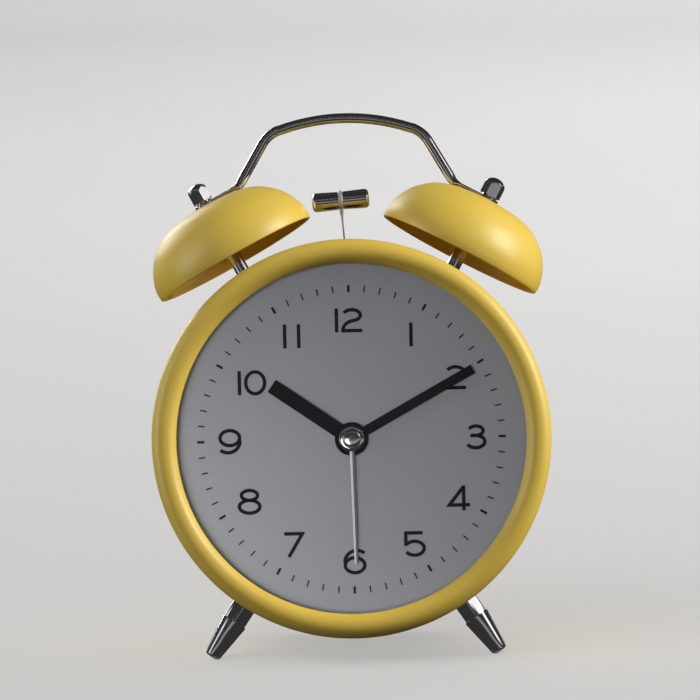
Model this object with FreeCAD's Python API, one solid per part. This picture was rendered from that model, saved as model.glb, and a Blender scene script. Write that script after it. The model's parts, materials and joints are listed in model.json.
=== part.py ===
"""Twin-bell alarm clock, built as separate parts in one frame.

Everything is drawn in the clock's own upright frame: X to the right of someone reading the dial, Y towards
the back, Z up, with the origin at the dial's centre on its printed face. At the end the whole clock is leaned
back by LEAN, so that it stands on its two feet and on the bottom of the drum's rear edge, and is moved so that
the middle of its footprint is the origin. Units are millimetres.
"""
import FreeCAD
import Part
import math
import os

V = FreeCAD.Vector
X_DIR = V(1, 0, 0)
Y_DIR = V(0, 1, 0)
Z_DIR = V(0, 0, 1)

# ---- stance
LEAN = 10.5

# ---- drum, bezel, lens, dial
DRUM_R = 58.5
DRUM_WALL = 1.0
DRUM_FRONT = -6.4
DRUM_REAR = 43.0
DRUM_EDGE = 0.4
BEZEL_R = 60.0
BEZEL_INNER_R = 52.6
BEZEL_MID_Y = -7.5
BEZEL_SKIRT_Y = -1.0
SEAT_Y = -6.6
HAMMER_SLOT_X = 4.2
HAMMER_SLOT_Y = 3.0
LENS_R = 57.2
LENS_FRONT = -6.55
LENS_BACK = -4.95
DIAL_THICK = 0.8
DIAL_VISIBLE_R = 53.2
RING_BACK = 2.4
RING_BORE = 53.0

# ---- bells, posts, handle
TOP_Y = 16.0
BELL_TILT = 28.5
BELL_RIM_X = 34.0
BELL_RIM_Z = 56.1
BELL_WALL = 1.0
BELL_OUTER = [(25.95, 0.0), (26.15, 2.0), (25.75, 4.9), (24.5, 8.1), (22.5, 11.3), (19.9, 13.9), (16.8, 16.1),
              (12.9, 17.6), (8.3, 18.4), (4.6, 18.7)]
BELL_H = 18.7
POST_R = 2.15
STUD_R = 1.45
CLEAR = 0.05
TAB_THICK = 1.0
NUT_AF = 5.65
NUT_H = 6.4
WIRE_R = 1.53
HANDLE_TOP_Z = 98.65
HANDLE_SHOULDER = (23.8, 93.85)
HANDLE_KNEE = (32.45, 78.9)
TAB_R = 3.2
SHOULDER_BEND = 10.0
KNEE_BEND = 2.6

# ---- feet
FOOT_ANGLE = 34.0
FOOT_Y = 6.0
FOOT_HEX_AF = 7.1
FOOT_HEX_END = 65.3
FOOT_END = 78.0
FOOT_TIP_R = 2.45
FOOT_STUD_R = 1.5

# ---- hammer and striker
PIVOT_Z = 49.6
HAMMER_REST = -4.3
HAMMER_ARM = 23.9
HEAD_R = 2.9
HEAD_HALF = 8.7
GROOVE_HALF = 0.7
GROOVE_R = 2.35
EYE_HALF = 0.6
BLADE_HALF = 0.25
BLADE_DEPTH = 1.4
PIN_R = 1.0

# ---- hands
HOUR_ANGLE = 304.8
MINUTE_ANGLE = 61.2
SECOND_ANGLE = 178.9
ALARM_ANGLE = 178.9
HOUR_LEN = 28.9
HOUR_W = 4.4
MINUTE_LEN = 42.2
MINUTE_W = 2.9
SECOND_LEN = 37.6
ALARM_LEN = 29.0

# ---- concentric pipes, from the inside out: (outer radius, bore, front end)
SECOND_SHAFT_R = 0.65
MINUTE_PIPE = (1.20, 0.72, -2.62)
HOUR_PIPE = (1.76, 1.28, -1.82)
ALARM_PIPE = (2.32, 1.84, -1.02)
BUSH = (4.0, 2.40)

# ---- going train: teeth and modules
ROTOR_Z = 8
INTER_Z = 40
INTER_M = 0.28
INTER_PINION_Z = 8
SECONDS_Z = 48
SECONDS_M = 0.30
SECONDS_PINION_Z = 8
THIRD_Z = 60
THIRD_M = 0.30
THIRD_PINION_Z = 8
CENTRE_Z = 64
CANNON_Z = 12
MOTION_Z = 36
MOTION_M = 0.36
MOTION_PINION_Z = 10
HOUR_Z = 40
SETTER_Z = 18
ALARM_Z = 40
ALARM_M = 0.36
ALARM_SETTER_Z = 50

THIRD_DIST = THIRD_M * (THIRD_Z + SECONDS_PINION_Z) / 2
CENTRE_M = 2 * THIRD_DIST / (CENTRE_Z + THIRD_PINION_Z)
MOTION_DIST = MOTION_M * (MOTION_Z + CANNON_Z) / 2
HOUR_M = 2 * MOTION_DIST / (HOUR_Z + MOTION_PINION_Z)
INTER_DIST = SECONDS_M * (SECONDS_Z + INTER_PINION_Z) / 2
ROTOR_DIST = INTER_M * (INTER_Z + ROTOR_Z) / 2
SETTER_DIST = MOTION_M * (MOTION_Z + SETTER_Z) / 2
ALARM_SETTER_DIST = ALARM_M * (ALARM_Z + ALARM_SETTER_Z) / 2

# ---- movement case and back
PLATE_FRONT = 1.2
PLATE_BACK = 2.6
HOUSING_BACK = 18.6
HOUSING_HALF = 28.0
HOUSING_LOW = -29.0
HOUSING_TOP = 23.0
COVER_FRONT = 41.0
COVER_BACK = 42.0
COVER_R = 57.4
BATTERY_Z = -33.0
BATTERY_Y = 31.0
BATTERY_R = 7.2
TRAY_HALF = 29.0
TRAY_FRONT = 22.4
PILLARS = [(49.2, 8.7), (-49.2, 8.7), (0.0, -50.0)]
KNOB_R = 6.0
SWITCH_Z = 22.0


# ---------------------------------------------------------------- small helpers
def polar(radius, angle, x=0.0, z=0.0):
    """Point at a mathematical angle in the dial's plane, X then Z."""
    return (x + radius * math.cos(math.radians(angle)), z + radius * math.sin(math.radians(angle)))


def cyl(radius, y0, y1, x=0.0, z=0.0):
    """Round bar along Y."""
    return Part.makeCylinder(radius, y1 - y0, V(x, y0, z), Y_DIR)


def tube(outer, bore, y0, y1, x=0.0, z=0.0):
    """Tube along Y."""
    return cyl(outer, y0, y1, x, z).cut(cyl(bore, y0 - 1, y1 + 1, x, z))


def block(x0, x1, y0, y1, z0, z1):
    """Box between two corners."""
    return Part.makeBox(x1 - x0, y1 - y0, z1 - z0, V(x0, y0, z0))


def plate(points, y0, y1):
    """Flat outline in X and Z, given its thickness along Y."""
    loop = [V(x, y0, z) for x, z in points]
    loop.append(loop[0])
    return Part.Face(Part.makePolygon(loop)).extrude(V(0, y1 - y0, 0))


def prism(sides, across_flats, z0, z1):
    """Regular prism along Z, flats across as given."""
    corner_r = across_flats / 2 / math.cos(math.pi / sides)
    loop = []
    for i in range(sides + 1):
        a = 2 * math.pi * i / sides
        loop.append(V(corner_r * math.cos(a), corner_r * math.sin(a), z0))
    return Part.Face(Part.makePolygon(loop)).extrude(V(0, 0, z1 - z0))


def turned(profile):
    """Solid turned about Z from (radius, height) points."""
    loop = [V(r, 0, h) for r, h in profile]
    loop.append(loop[0])
    return Part.Face(Part.makePolygon(loop)).revolve(V(0, 0, 0), Z_DIR, 360)


def turned_y(profile):
    """Solid turned about Y from (radius, y) points."""
    loop = [V(r, y, 0) for r, y in profile]
    loop.append(loop[0])
    return Part.Face(Part.makePolygon(loop)).revolve(V(0, 0, 0), Y_DIR, 360)


def stand(shape, base, direction):
    """Moves a shape drawn along Z so that it starts at base and runs along direction."""
    out = shape.copy()
    out.Placement = FreeCAD.Placement(base, FreeCAD.Rotation(Z_DIR, direction)).multiply(out.Placement)
    return out


def fused(shapes):
    """One solid out of several that touch or overlap."""
    out = shapes[0]
    for shape in shapes[1:]:
        out = out.fuse(shape)
    return out.removeSplitter()


def mirrored(shape):
    """The same part on the other side of the clock."""
    return shape.mirror(V(0, 0, 0), X_DIR)


def gear_outline(teeth, module, phase):
    """Outline of a small spur gear with easy backlash; phase is the angle of one tooth's middle."""
    pitch = 360.0 / teeth
    pitch_r = module * teeth / 2
    pinion = teeth < 15
    root_r = pitch_r - 1.05 * module
    tip_r = pitch_r + (0.62 if pinion else 0.72) * module
    half = [(root_r, 0.25), (pitch_r, 0.185), (tip_r, 0.09)]
    if pinion:
        half = [(root_r, 0.20), (pitch_r, 0.17), (tip_r, 0.08)]
    points = []
    for i in range(teeth):
        mid = phase + i * pitch
        for r, share in half:
            points.append(polar(r, mid - share * pitch))
        for r, share in reversed(half):
            points.append(polar(r, mid + share * pitch))
    return points


def gear(teeth, module, phase, y0, y1, at=(0.0, 0.0)):
    """Spur gear in the dial's plane."""
    points = [(x + at[0], z + at[1]) for x, z in gear_outline(teeth, module, phase)]
    return plate(points, y0, y1)


def mesh_phase(teeth_a, phase_a, teeth_b, direction):
    """Phase of gear B that puts its gap on A's tooth, B lying from A in the given direction."""
    pitch_a = 360.0 / teeth_a
    pitch_b = 360.0 / teeth_b
    share = ((direction - phase_a) / pitch_a) % 1.0
    return direction + 180.0 + share * pitch_b + pitch_b / 2


def clock_turn(shape, angle, z=0.0):
    """Turns a part clockwise on the dial about an axis along Y at height z."""
    out = shape.copy()
    out.rotate(V(0, 0, z), Y_DIR, angle)
    return out


# ---------------------------------------------------------------- positions of the wheels
MOTION_AT = polar(MOTION_DIST, 210.0)
THIRD_AT = polar(THIRD_DIST, 90.0)
INTER_AT = polar(INTER_DIST, -60.0)
ROTOR_AT = polar(ROTOR_DIST, -100.0, *INTER_AT)
SETTER_DIR = 153.8
SETTER_AT = polar(SETTER_DIST, SETTER_DIR, *MOTION_AT)
ALARM_SETTER_AT = polar(ALARM_SETTER_DIST, 0.0)

BELL_AXIS = V(math.sin(math.radians(BELL_TILT)), 0, math.cos(math.radians(BELL_TILT)))
BELL_SIDE = V(-math.cos(math.radians(BELL_TILT)), 0, math.sin(math.radians(BELL_TILT)))
BELL_RIM = V(BELL_RIM_X, TOP_Y, BELL_RIM_Z)
BELL_TOP = BELL_RIM + BELL_AXIS * BELL_H
FOOT_AXIS = V(math.sin(math.radians(FOOT_ANGLE)), 0, -math.cos(math.radians(FOOT_ANGLE)))
FOOT_BASE = V(0, FOOT_Y, 0)

C_LEAN = math.cos(math.radians(LEAN))
S_LEAN = math.sin(math.radians(LEAN))
FLOOR_DROP = (DRUM_R - DRUM_EDGE) * C_LEAN + (DRUM_REAR - DRUM_EDGE) * S_LEAN + DRUM_EDGE


def below_floor():
    """Everything under the surface the clock stands on, in the upright frame."""
    slab = Part.makeBox(300, 300, 60, V(-150, -150, -60))
    slab.rotate(V(0, 0, 0), X_DIR, LEAN)
    slab.translate(V(0, FLOOR_DROP * S_LEAN, -FLOOR_DROP * C_LEAN))
    return slab


# ---------------------------------------------------------------- outside of the case
def post_drill(radius):
    """Round cutter through the drum on the bell post's axis."""
    return Part.makeCylinder(radius, 30, BELL_RIM - BELL_AXIS * 25, BELL_AXIS)


def make_drum():
    edge = DRUM_EDGE
    inner = DRUM_R - DRUM_WALL
    profile = [(inner, DRUM_FRONT), (DRUM_R, DRUM_FRONT), (DRUM_R, DRUM_REAR - edge),
               (DRUM_R - 0.3 * edge, DRUM_REAR - 0.3 * edge), (DRUM_R - edge, DRUM_REAR), (inner, DRUM_REAR)]
    drum = turned_y(profile)
    for side in (1, -1):
        post = post_drill(STUD_R + CLEAR)
        foot = Part.makeCylinder(FOOT_STUD_R + CLEAR, 30, FOOT_BASE + FOOT_AXIS * 45, FOOT_AXIS)
        if side < 0:
            post = mirrored(post)
            foot = mirrored(foot)
        drum = drum.cut(post).cut(foot)
    slot = block(-HAMMER_SLOT_X, HAMMER_SLOT_X, TOP_Y - HAMMER_SLOT_Y, TOP_Y + HAMMER_SLOT_Y, 50, 62)
    return drum.cut(slot)


def make_bezel():
    mid_r = (BEZEL_R + BEZEL_INNER_R) / 2
    half = (BEZEL_R - BEZEL_INNER_R) / 2
    front = Part.Arc(V(BEZEL_R, BEZEL_MID_Y, 0), V(mid_r, BEZEL_MID_Y - half, 0),
                     V(BEZEL_INNER_R, BEZEL_MID_Y, 0)).toShape()
    rest = [V(BEZEL_INNER_R, BEZEL_MID_Y, 0), V(BEZEL_INNER_R, SEAT_Y, 0), V(DRUM_R + CLEAR, SEAT_Y, 0),
            V(DRUM_R + CLEAR, BEZEL_SKIRT_Y, 0), V(BEZEL_R - 0.3, BEZEL_SKIRT_Y, 0),
            V(BEZEL_R, BEZEL_SKIRT_Y - 0.3, 0), V(BEZEL_R, BEZEL_MID_Y, 0)]
    return Part.Face(Part.Wire([front] + Part.makePolygon(rest).Edges)).revolve(V(0, 0, 0), Y_DIR, 360)


def make_spacer_ring():
    return turned_y([(DIAL_VISIBLE_R, LENS_BACK), (LENS_R, LENS_BACK), (LENS_R, 0.0), (DIAL_VISIBLE_R, 0.0)])


def make_retaining_ring():
    parts = [tube(LENS_R, RING_BORE, DIAL_THICK, RING_BACK)]
    for x, z in PILLARS:
        parts.append(cyl(4.2, DIAL_THICK, RING_BACK, x, z))
    return fused(parts)


def make_back_cover():
    skirt = tube(COVER_R, COVER_R - 1.0, COVER_FRONT - 5, COVER_BACK)
    cover = cyl(COVER_R, COVER_FRONT, COVER_BACK).fuse(skirt)
    door_gap = block(-28.0, 28.0, COVER_FRONT - 1, COVER_BACK + 1, -41.0, -25.0)
    cover = cover.cut(door_gap)
    for x, z in (SETTER_AT, ALARM_SETTER_AT):
        cover = cover.cut(cyl(2.0, COVER_FRONT - 1, COVER_BACK + 1, x, z))
    cover = cover.cut(block(-5.4, 5.4, COVER_FRONT - 1, COVER_BACK + 1, SWITCH_Z - 1.3, SWITCH_Z + 1.3))
    for x, z in PILLARS:
        cover = cover.cut(cyl(1.35, COVER_FRONT - 1, COVER_BACK + 1, x, z))
    for row in range(4):
        for col in range(-3, 4):
            x = 7.0 * col
            cover = cover.cut(cyl(1.1, COVER_FRONT - 1, COVER_BACK + 1, x, 33.0 + 4.6 * row))
    rails = []
    for side in (1, -1):
        x_in, x_out = sorted((side * 30.5, side * 32.5))
        lip_in, lip_out = sorted((side * 29.4, side * 32.5))
        rails.append(block(x_in, x_out, COVER_BACK, COVER_BACK + 2.3, -44.0, -11.0))
        rails.append(block(lip_in, lip_out, COVER_BACK + 1.5, COVER_BACK + 2.3, -44.0, -11.0))
    stop = block(-32.5, 32.5, COVER_BACK, COVER_BACK + 2.3, -45.2, -43.6)
    return fused([cover, stop] + rails)


def make_pillars():
    return [cyl(3.0, RING_BACK, COVER_FRONT, x, z).cut(cyl(1.25, COVER_FRONT - 12, COVER_FRONT + 1, x, z))
            for x, z in PILLARS]


def make_cover_screws():
    screws = []
    for x, z in PILLARS:
        screw = cyl(1.2, COVER_FRONT - 10, COVER_BACK, x, z).fuse(cyl(2.6, COVER_BACK, COVER_BACK + 1.6, x, z))
        screw = screw.cut(block(x - 2.0, x + 2.0, COVER_BACK + 0.8, COVER_BACK + 2, z - 0.3, z + 0.3))
        screws.append(screw.cut(block(x - 0.3, x + 0.3, COVER_BACK + 0.8, COVER_BACK + 2, z - 2.0, z + 2.0)))
    return screws


# ---------------------------------------------------------------- bells, handle, feet
def make_bell():
    """Pressed dome, open side down, drawn from its rim along Z."""
    outer = Part.BSplineCurve()
    outer.interpolate([V(r, 0, h) for r, h in BELL_OUTER])
    inner_points = []
    count = len(BELL_OUTER)
    for i, (r, h) in enumerate(BELL_OUTER):
        r0, h0 = BELL_OUTER[max(i - 1, 0)]
        r1, h1 = BELL_OUTER[min(i + 1, count - 1)]
        length = math.hypot(r1 - r0, h1 - h0)
        nr, nh = -(h1 - h0) / length, (r1 - r0) / length
        if i == 0:
            nr, nh = -1.0, 0.0
        if i == count - 1:
            nr, nh = 0.0, -1.0
        inner_points.append(V(r + nr * BELL_WALL, 0, h + nh * BELL_WALL))
    inner = Part.BSplineCurve()
    inner.interpolate(inner_points)
    hole = STUD_R + CLEAR
    top_h = BELL_OUTER[-1][1]
    top = [V(BELL_OUTER[-1][0], 0, top_h), V(hole, 0, top_h), V(hole, 0, top_h - BELL_WALL), inner_points[-1]]
    rim = Part.makeLine(inner_points[0], V(BELL_OUTER[0][0], 0, 0))
    wire = Part.Wire([outer.toShape()] + Part.makePolygon(top).Edges + [inner.toShape(), rim])
    return Part.Face(wire).revolve(V(0, 0, 0), Z_DIR, 360)


def make_post():
    """Turned post: stud through the drum, wide shank up to the bell, stud through bell, tab and nut."""
    seat = -9.0
    shank = Part.makeCylinder(POST_R, BELL_H - BELL_WALL - seat, V(0, 0, seat))
    stud = Part.makeCylinder(STUD_R, BELL_H + TAB_THICK + 3.9 + 15.5, V(0, 0, -15.5))
    post = stand(shank.fuse(stud), BELL_RIM, BELL_AXIS)
    inside = cyl(DRUM_R + 0.02, -20, 60)
    outer_part = post.cut(inside)
    inner_part = stand(stud, BELL_RIM, BELL_AXIS).common(inside)
    return fused([outer_part, inner_part])


def make_inner_nut(af, height, bore, end_r, base, axis):
    """Plain hex nut against the inside of the drum, its outer face following the curved wall."""
    nut = prism(6, af, 0, height + 3).cut(Part.makeCylinder(bore, 20, V(0, 0, -1)))
    nut = stand(nut, base + axis * (end_r - height), axis)
    return nut.common(cyl(DRUM_R - DRUM_WALL, -20, 60))


def make_cap_nut():
    """Tall hex cap nut: narrow neck below, facets that run up into a dome, blind bore from below."""
    neck = 0.5
    dome = turned([(0, neck), (3.3, neck), (3.3, 4.2), (2.95, 5.0), (2.4, 5.7), (1.5, 6.2), (0, NUT_H)])
    hexagon = prism(6, NUT_AF, neck, NUT_H).common(dome)
    collar = Part.makeCylinder(2.35, neck)
    bore = Part.makeCylinder(STUD_R + CLEAR, 4.1, V(0, 0, -0.1))
    return fused([hexagon, collar]).cut(bore)


def make_handle():
    """Bent wire with its ends beaten flat into eyes under the cap nuts."""
    sx, sz = HANDLE_SHOULDER
    kx, kz = HANDLE_KNEE
    sag = HANDLE_TOP_Z - sz
    arch_r = (sx * sx + sag * sag) / (2 * sag)
    arch_mid = V(0, TOP_Y, HANDLE_TOP_Z)
    half_angle = math.asin(sx / arch_r)
    bend = SHOULDER_BEND
    leg_angle = math.atan2(sz - kz, kx - sx)
    turn = leg_angle - half_angle
    cut_back = bend * math.tan(turn / 2)
    a_in = half_angle - cut_back / arch_r
    arch_end = V(arch_r * math.sin(a_in), TOP_Y, HANDLE_TOP_Z - arch_r * (1 - math.cos(a_in)))
    leg_start = V(sx + cut_back * math.cos(leg_angle), TOP_Y, sz - cut_back * math.sin(leg_angle))
    bisect = (half_angle + leg_angle) / 2
    push = bend * (1 / math.cos(turn / 2) - 1)
    corner = V(sx - push * math.sin(bisect), TOP_Y, sz - push * math.cos(bisect))
    eye = BELL_TOP + BELL_AXIS * (TAB_THICK / 2)
    leg_dir = V(math.cos(leg_angle), 0, -math.sin(leg_angle))
    tab_dir = BELL_SIDE * -1
    knee = V(kx, TOP_Y, kz)
    offset = (knee - eye).dot(BELL_AXIS)
    knee = knee - leg_dir * (offset / leg_dir.dot(BELL_AXIS))
    knee_turn = math.acos(leg_dir.dot(tab_dir))
    knee_back = KNEE_BEND * math.tan(knee_turn / 2)
    leg_end = knee - leg_dir * knee_back
    tab_start = knee + tab_dir * knee_back
    middle = (leg_end + tab_start) * 0.5
    knee_push = KNEE_BEND * (1 / math.cos(knee_turn / 2) - 1)
    knee_mid = knee + (middle - knee) * (knee_push / (middle - knee).Length)
    tab_mid = tab_start + tab_dir * 1.5

    def side(s):
        points = (arch_end, corner, leg_start, leg_end, knee_mid, tab_start, tab_mid)
        return [V(s * p.x, p.y, p.z) for p in points]

    right = side(1)
    left = side(-1)
    edges = [Part.makeLine(left[6], left[5]), Part.Arc(left[5], left[4], left[3]).toShape(),
             Part.makeLine(left[3], left[2]), Part.Arc(left[2], left[1], left[0]).toShape(),
             Part.Arc(left[0], arch_mid, right[0]).toShape(), Part.Arc(right[0], right[1], right[2]).toShape(),
             Part.makeLine(right[2], right[3]), Part.Arc(right[3], right[4], right[5]).toShape(),
             Part.makeLine(right[5], right[6])]
    path = Part.Wire(edges)
    start_dir = V(tab_dir.x, 0, -tab_dir.z) * -1
    section = Part.Wire([Part.makeCircle(WIRE_R, left[6], start_dir)])
    wire = path.makePipeShell([section], True, False)
    half = TAB_THICK / 2
    tab_len = (eye - tab_mid).Length
    outline = ((-2.2, 1.35), (0.0, 1.9), (2.2, 2.7), (tab_len, TAB_R))
    pts = [V(a, w, -half) for a, w in outline] + [V(a, -w, -half) for a, w in reversed(outline)]
    tab = Part.Face(Part.makePolygon(pts + [pts[0]])).extrude(V(0, 0, TAB_THICK))
    tab = tab.fuse(Part.makeCylinder(TAB_R, TAB_THICK, V(tab_len, 0, -half)))
    tab = tab.cut(Part.makeCylinder(STUD_R + CLEAR, 8, V(tab_len, 0, -4)))
    frame = FreeCAD.Placement(tab_mid, FreeCAD.Rotation(tab_dir, Y_DIR, BELL_AXIS, "XYZ"))
    tab.Placement = frame.multiply(tab.Placement)
    press = Part.makeBox(12, 12, 6, V(-0.6, -6, half))
    press_low = Part.makeBox(17, 12, 6, V(-5.6, -6, -half - 6))
    presses = []
    for tool in (press, press_low):
        tool.Placement = frame.multiply(tool.Placement)
        presses.append(tool)
        presses.append(mirrored(tool))
    for tool in presses:
        wire = wire.cut(tool)
    return fused([wire, tab, mirrored(tab)])


def make_foot():
    """Turned foot: hexagon against the drum, tapering leg, rounded end worn flat on the table."""
    cone_r = FOOT_HEX_AF / 2 / math.cos(math.pi / 6)
    hexagon = prism(6, FOOT_HEX_AF, DRUM_R - 2.0, FOOT_HEX_END)
    hexagon = hexagon.common(Part.makeCylinder(cone_r - 0.12, 40, V(0, 0, 40)))
    tip = 0.9
    leg = turned([(0, FOOT_HEX_END - 0.5), (cone_r - 0.15, FOOT_HEX_END - 0.5), (cone_r - 0.15, FOOT_HEX_END),
                  (FOOT_TIP_R, FOOT_END - tip), (FOOT_TIP_R - 0.25, FOOT_END - 0.35),
                  (FOOT_TIP_R - tip, FOOT_END), (0, FOOT_END)])
    inside = cyl(DRUM_R, -30, 60)
    outer_part = stand(hexagon.fuse(leg), FOOT_BASE, FOOT_AXIS).cut(inside)
    stud = stand(Part.makeCylinder(FOOT_STUD_R, 9.5, V(0, 0, DRUM_R - 5.5)), FOOT_BASE, FOOT_AXIS)
    foot = fused([outer_part, stud])
    return foot.cut(below_floor())


# ---------------------------------------------------------------- hammer and its drive
def hammer_lean(shape):
    """Puts a part drawn with the hammer upright into its resting lean."""
    return clock_turn(shape, HAMMER_REST, PIVOT_Z)


def make_hammer_head():
    """Turned barrel with rounded ends, slightly waisted towards the groove that the stem's eye sits in."""
    groove = GROOVE_HALF
    half = [(GROOVE_R, 0.0), (GROOVE_R, groove), (2.7, groove), (2.78, groove + 1.5), (HEAD_R, 5.0),
            (HEAD_R, 7.5), (2.75, 8.2), (2.35, 8.55), (1.8, HEAD_HALF)]
    profile = [(0, -HEAD_HALF)] + [(r, -h) for r, h in reversed(half[1:])] + half[1:] + [(0, HEAD_HALF)]
    head = stand(turned(profile), V(0, TOP_Y, PIVOT_Z + HAMMER_ARM), X_DIR)
    return hammer_lean(head)


def make_hammer_stem():
    """Spring blade that widens into the eye round the head's groove."""
    z_eye = PIVOT_Z + HAMMER_ARM
    z_flare = z_eye - 2.6
    z_widen = z_eye - 6.0
    front = TOP_Y - BLADE_DEPTH
    back = TOP_Y + BLADE_DEPTH
    blade = block(-BLADE_HALF, BLADE_HALF, front, back, PIVOT_Z + 2.4, z_flare + 0.1)
    flare = plate([(-BLADE_HALF, z_widen), (BLADE_HALF, z_widen), (EYE_HALF, z_flare), (-EYE_HALF, z_flare)],
                  front, back)
    eye = Part.makeCylinder(HEAD_R + 0.2, 2 * EYE_HALF, V(-EYE_HALF, TOP_Y, z_eye), X_DIR)
    groove = Part.makeCylinder(GROOVE_R + 0.02, 4, V(-2, TOP_Y, z_eye), X_DIR)
    return hammer_lean(fused([blade, flare, eye]).cut(groove))


def make_hammer_lever():
    """Hub on the pivot pin with the clamp for the stem above and the tail below."""
    hub = tube(2.7, PIN_R + CLEAR, TOP_Y - 4.5, TOP_Y + 4.5, 0, PIVOT_Z)
    clamp = block(-1.2, 1.2, TOP_Y - 2.2, TOP_Y + 2.2, PIVOT_Z + 1.5, PIVOT_Z + 5.5)
    slot_x = BLADE_HALF + 0.03
    slot_y = BLADE_DEPTH + 0.03
    slot = block(-slot_x, slot_x, TOP_Y - slot_y, TOP_Y + slot_y, PIVOT_Z + 2.37, PIVOT_Z + 7)
    tail = block(-0.7, 0.7, TOP_Y - 1.5, TOP_Y + 1.5, PIVOT_Z - 10.0, PIVOT_Z - 1.5)
    bore = cyl(PIN_R + CLEAR, 0, 40, 0, PIVOT_Z)
    return hammer_lean(fused([hub, clamp, tail]).cut(bore).cut(slot))


def make_armature():
    return hammer_lean(block(-2.2, 2.2, TOP_Y - 2.5, TOP_Y + 2.5, PIVOT_Z - 15.0, PIVOT_Z - 10.0))


def make_striker_yoke():
    base = block(-9.6, 9.6, TOP_Y - 1.5, TOP_Y + 1.5, 27.7, 30.7)
    sides = [block(7.0, 9.6, TOP_Y - 1.5, TOP_Y + 1.5, 27.7, 40.0),
             block(-9.6, -7.0, TOP_Y - 1.5, TOP_Y + 1.5, 27.7, 40.0)]
    return fused([base] + sides)


def make_striker_coil():
    x = 6.4
    bobbin = Part.makeCylinder(4.4, 2 * x, V(-x, TOP_Y, 29.2), X_DIR)
    winding_cut = Part.makeCylinder(5.0, 2 * x - 1.6, V(-x + 0.8, TOP_Y, 29.2), X_DIR)
    winding = Part.makeCylinder(3.9, 2 * x - 1.6, V(-x + 0.8, TOP_Y, 29.2), X_DIR)
    hole = block(-8, 8, TOP_Y - 1.55, TOP_Y + 1.55, 27.65, 30.75)
    return bobbin.cut(winding_cut).fuse(winding).removeSplitter().cut(hole)


def make_striker_bracket():
    y0 = TOP_Y - 6.0
    y1 = TOP_Y + 5.0
    back = block(-11.0, 11.0, y1, y1 + 1.0, HOUSING_TOP, PIVOT_Z + 4.5)
    front = block(-11.0, 11.0, y0, y0 + 1.0, PIVOT_Z - 6.0, PIVOT_Z + 4.5)
    webs = [block(10.0, 11.0, y0, y1 + 1.0, PIVOT_Z - 6.0, PIVOT_Z + 4.5),
            block(-11.0, -10.0, y0, y1 + 1.0, PIVOT_Z - 6.0, PIVOT_Z + 4.5)]
    foot = block(-11.0, 11.0, TOP_Y - 3.0, y1 + 1.0, HOUSING_TOP, HOUSING_TOP + 1.2)
    arms = [block(7.4, 9.6, TOP_Y + 1.5, y1 + 0.5, 27.7, 30.7),
            block(-9.6, -7.4, TOP_Y + 1.5, y1 + 0.5, 27.7, 30.7)]
    return fused([back, front, foot] + webs + arms).cut(cyl(PIN_R, y0 - 1, y1 + 2, 0, PIVOT_Z))


def make_grommet():
    """Moulded frame that lines the hammer's slot in the top of the drum."""
    def shell(r_in, r_out, x, y):
        ring = tube(r_out, r_in, TOP_Y - y, TOP_Y + y)
        return ring.common(block(-x, x, TOP_Y - y, TOP_Y + y, 40, 70))
    body = fused([shell(DRUM_R, DRUM_R + 0.7, 5.6, 4.4), shell(DRUM_R - DRUM_WALL, DRUM_R, 4.15, 2.95),
                  shell(DRUM_R - 1.8, DRUM_R - DRUM_WALL, 5.0, 3.8)])
    return body.cut(block(-3.5, 3.5, TOP_Y - 2.3, TOP_Y + 2.3, 40, 70))


# ---------------------------------------------------------------- hands
def make_bar_hand(length, width, hub_r, bore, y0, y1, angle):
    """Straight stamped hand with a round boss."""
    half = width / 2
    bar = block(-half, half, y0, y1, 0, length)
    hand = fused([bar, cyl(hub_r, y0, y1)]).cut(cyl(bore, y0 - 1, y1 + 1))
    return clock_turn(hand, angle)


def make_second_hand():
    """Slim tapered hand, creased along its middle."""
    half = 0.72
    back = -2.95
    loop = [(-half, back), (0, back), (half, back), (half, -3.1), (0, -3.4), (-half, -3.1), (-half, back)]
    near = Part.makePolygon([V(x, y, 1.5) for x, y in loop])
    far = Part.makePolygon([V(x * 0.8, y, SECOND_LEN) for x, y in loop])
    blade = Part.makeLoft([near, far], True, True)
    boss = cyl(3.0, -3.3, -2.95)
    hand = fused([boss, blade]).cut(cyl(SECOND_SHAFT_R + 0.02, -8, 2))
    return clock_turn(hand, SECOND_ANGLE)


def make_second_cap():
    """Polished cap on the end of the second hand's shaft."""
    cap = turned_y([(0, -3.42), (3.8, -3.42), (3.8, -3.6), (3.65, -3.75), (2.75, -3.8), (2.6, -4.0),
                    (2.1, -4.24), (1.2, -4.4), (0, -4.44)])
    return cap.cut(cyl(SECOND_SHAFT_R + 0.02, -3.9, -3.0))


# ---------------------------------------------------------------- wheels
def make_seconds_wheel():
    phase = 0.0
    parts = [gear(SECONDS_Z, SECONDS_M, phase, 10.6, 11.2), gear(SECONDS_PINION_Z, THIRD_M, 0.0, 8.8, 9.7),
             cyl(SECOND_SHAFT_R, -3.88, 16.6), cyl(1.0, 9.7, 10.6)]
    wheel = fused(parts)
    for i in range(4):
        x, z = polar(4.2, 45 + 90 * i)
        wheel = wheel.cut(cyl(1.7, 10.0, 12.0, x, z))
    return wheel


def make_third_wheel():
    x, z = THIRD_AT
    wheel_phase = mesh_phase(SECONDS_PINION_Z, 0.0, THIRD_Z, 90.0)
    parts = [gear(THIRD_Z, THIRD_M, wheel_phase, 9.0, 9.6, THIRD_AT),
             gear(THIRD_PINION_Z, CENTRE_M, -90.0, 7.2, 8.3, THIRD_AT),
             cyl(0.8, 8.3, 9.0, x, z), cyl(0.4, 1.9, 18.1, x, z)]
    wheel = fused(parts)
    for i in range(4):
        hx, hz = polar(5.6, 45 + 90 * i, x, z)
        wheel = wheel.cut(cyl(2.2, 8.9, 10.0, hx, hz))
    return wheel


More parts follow.
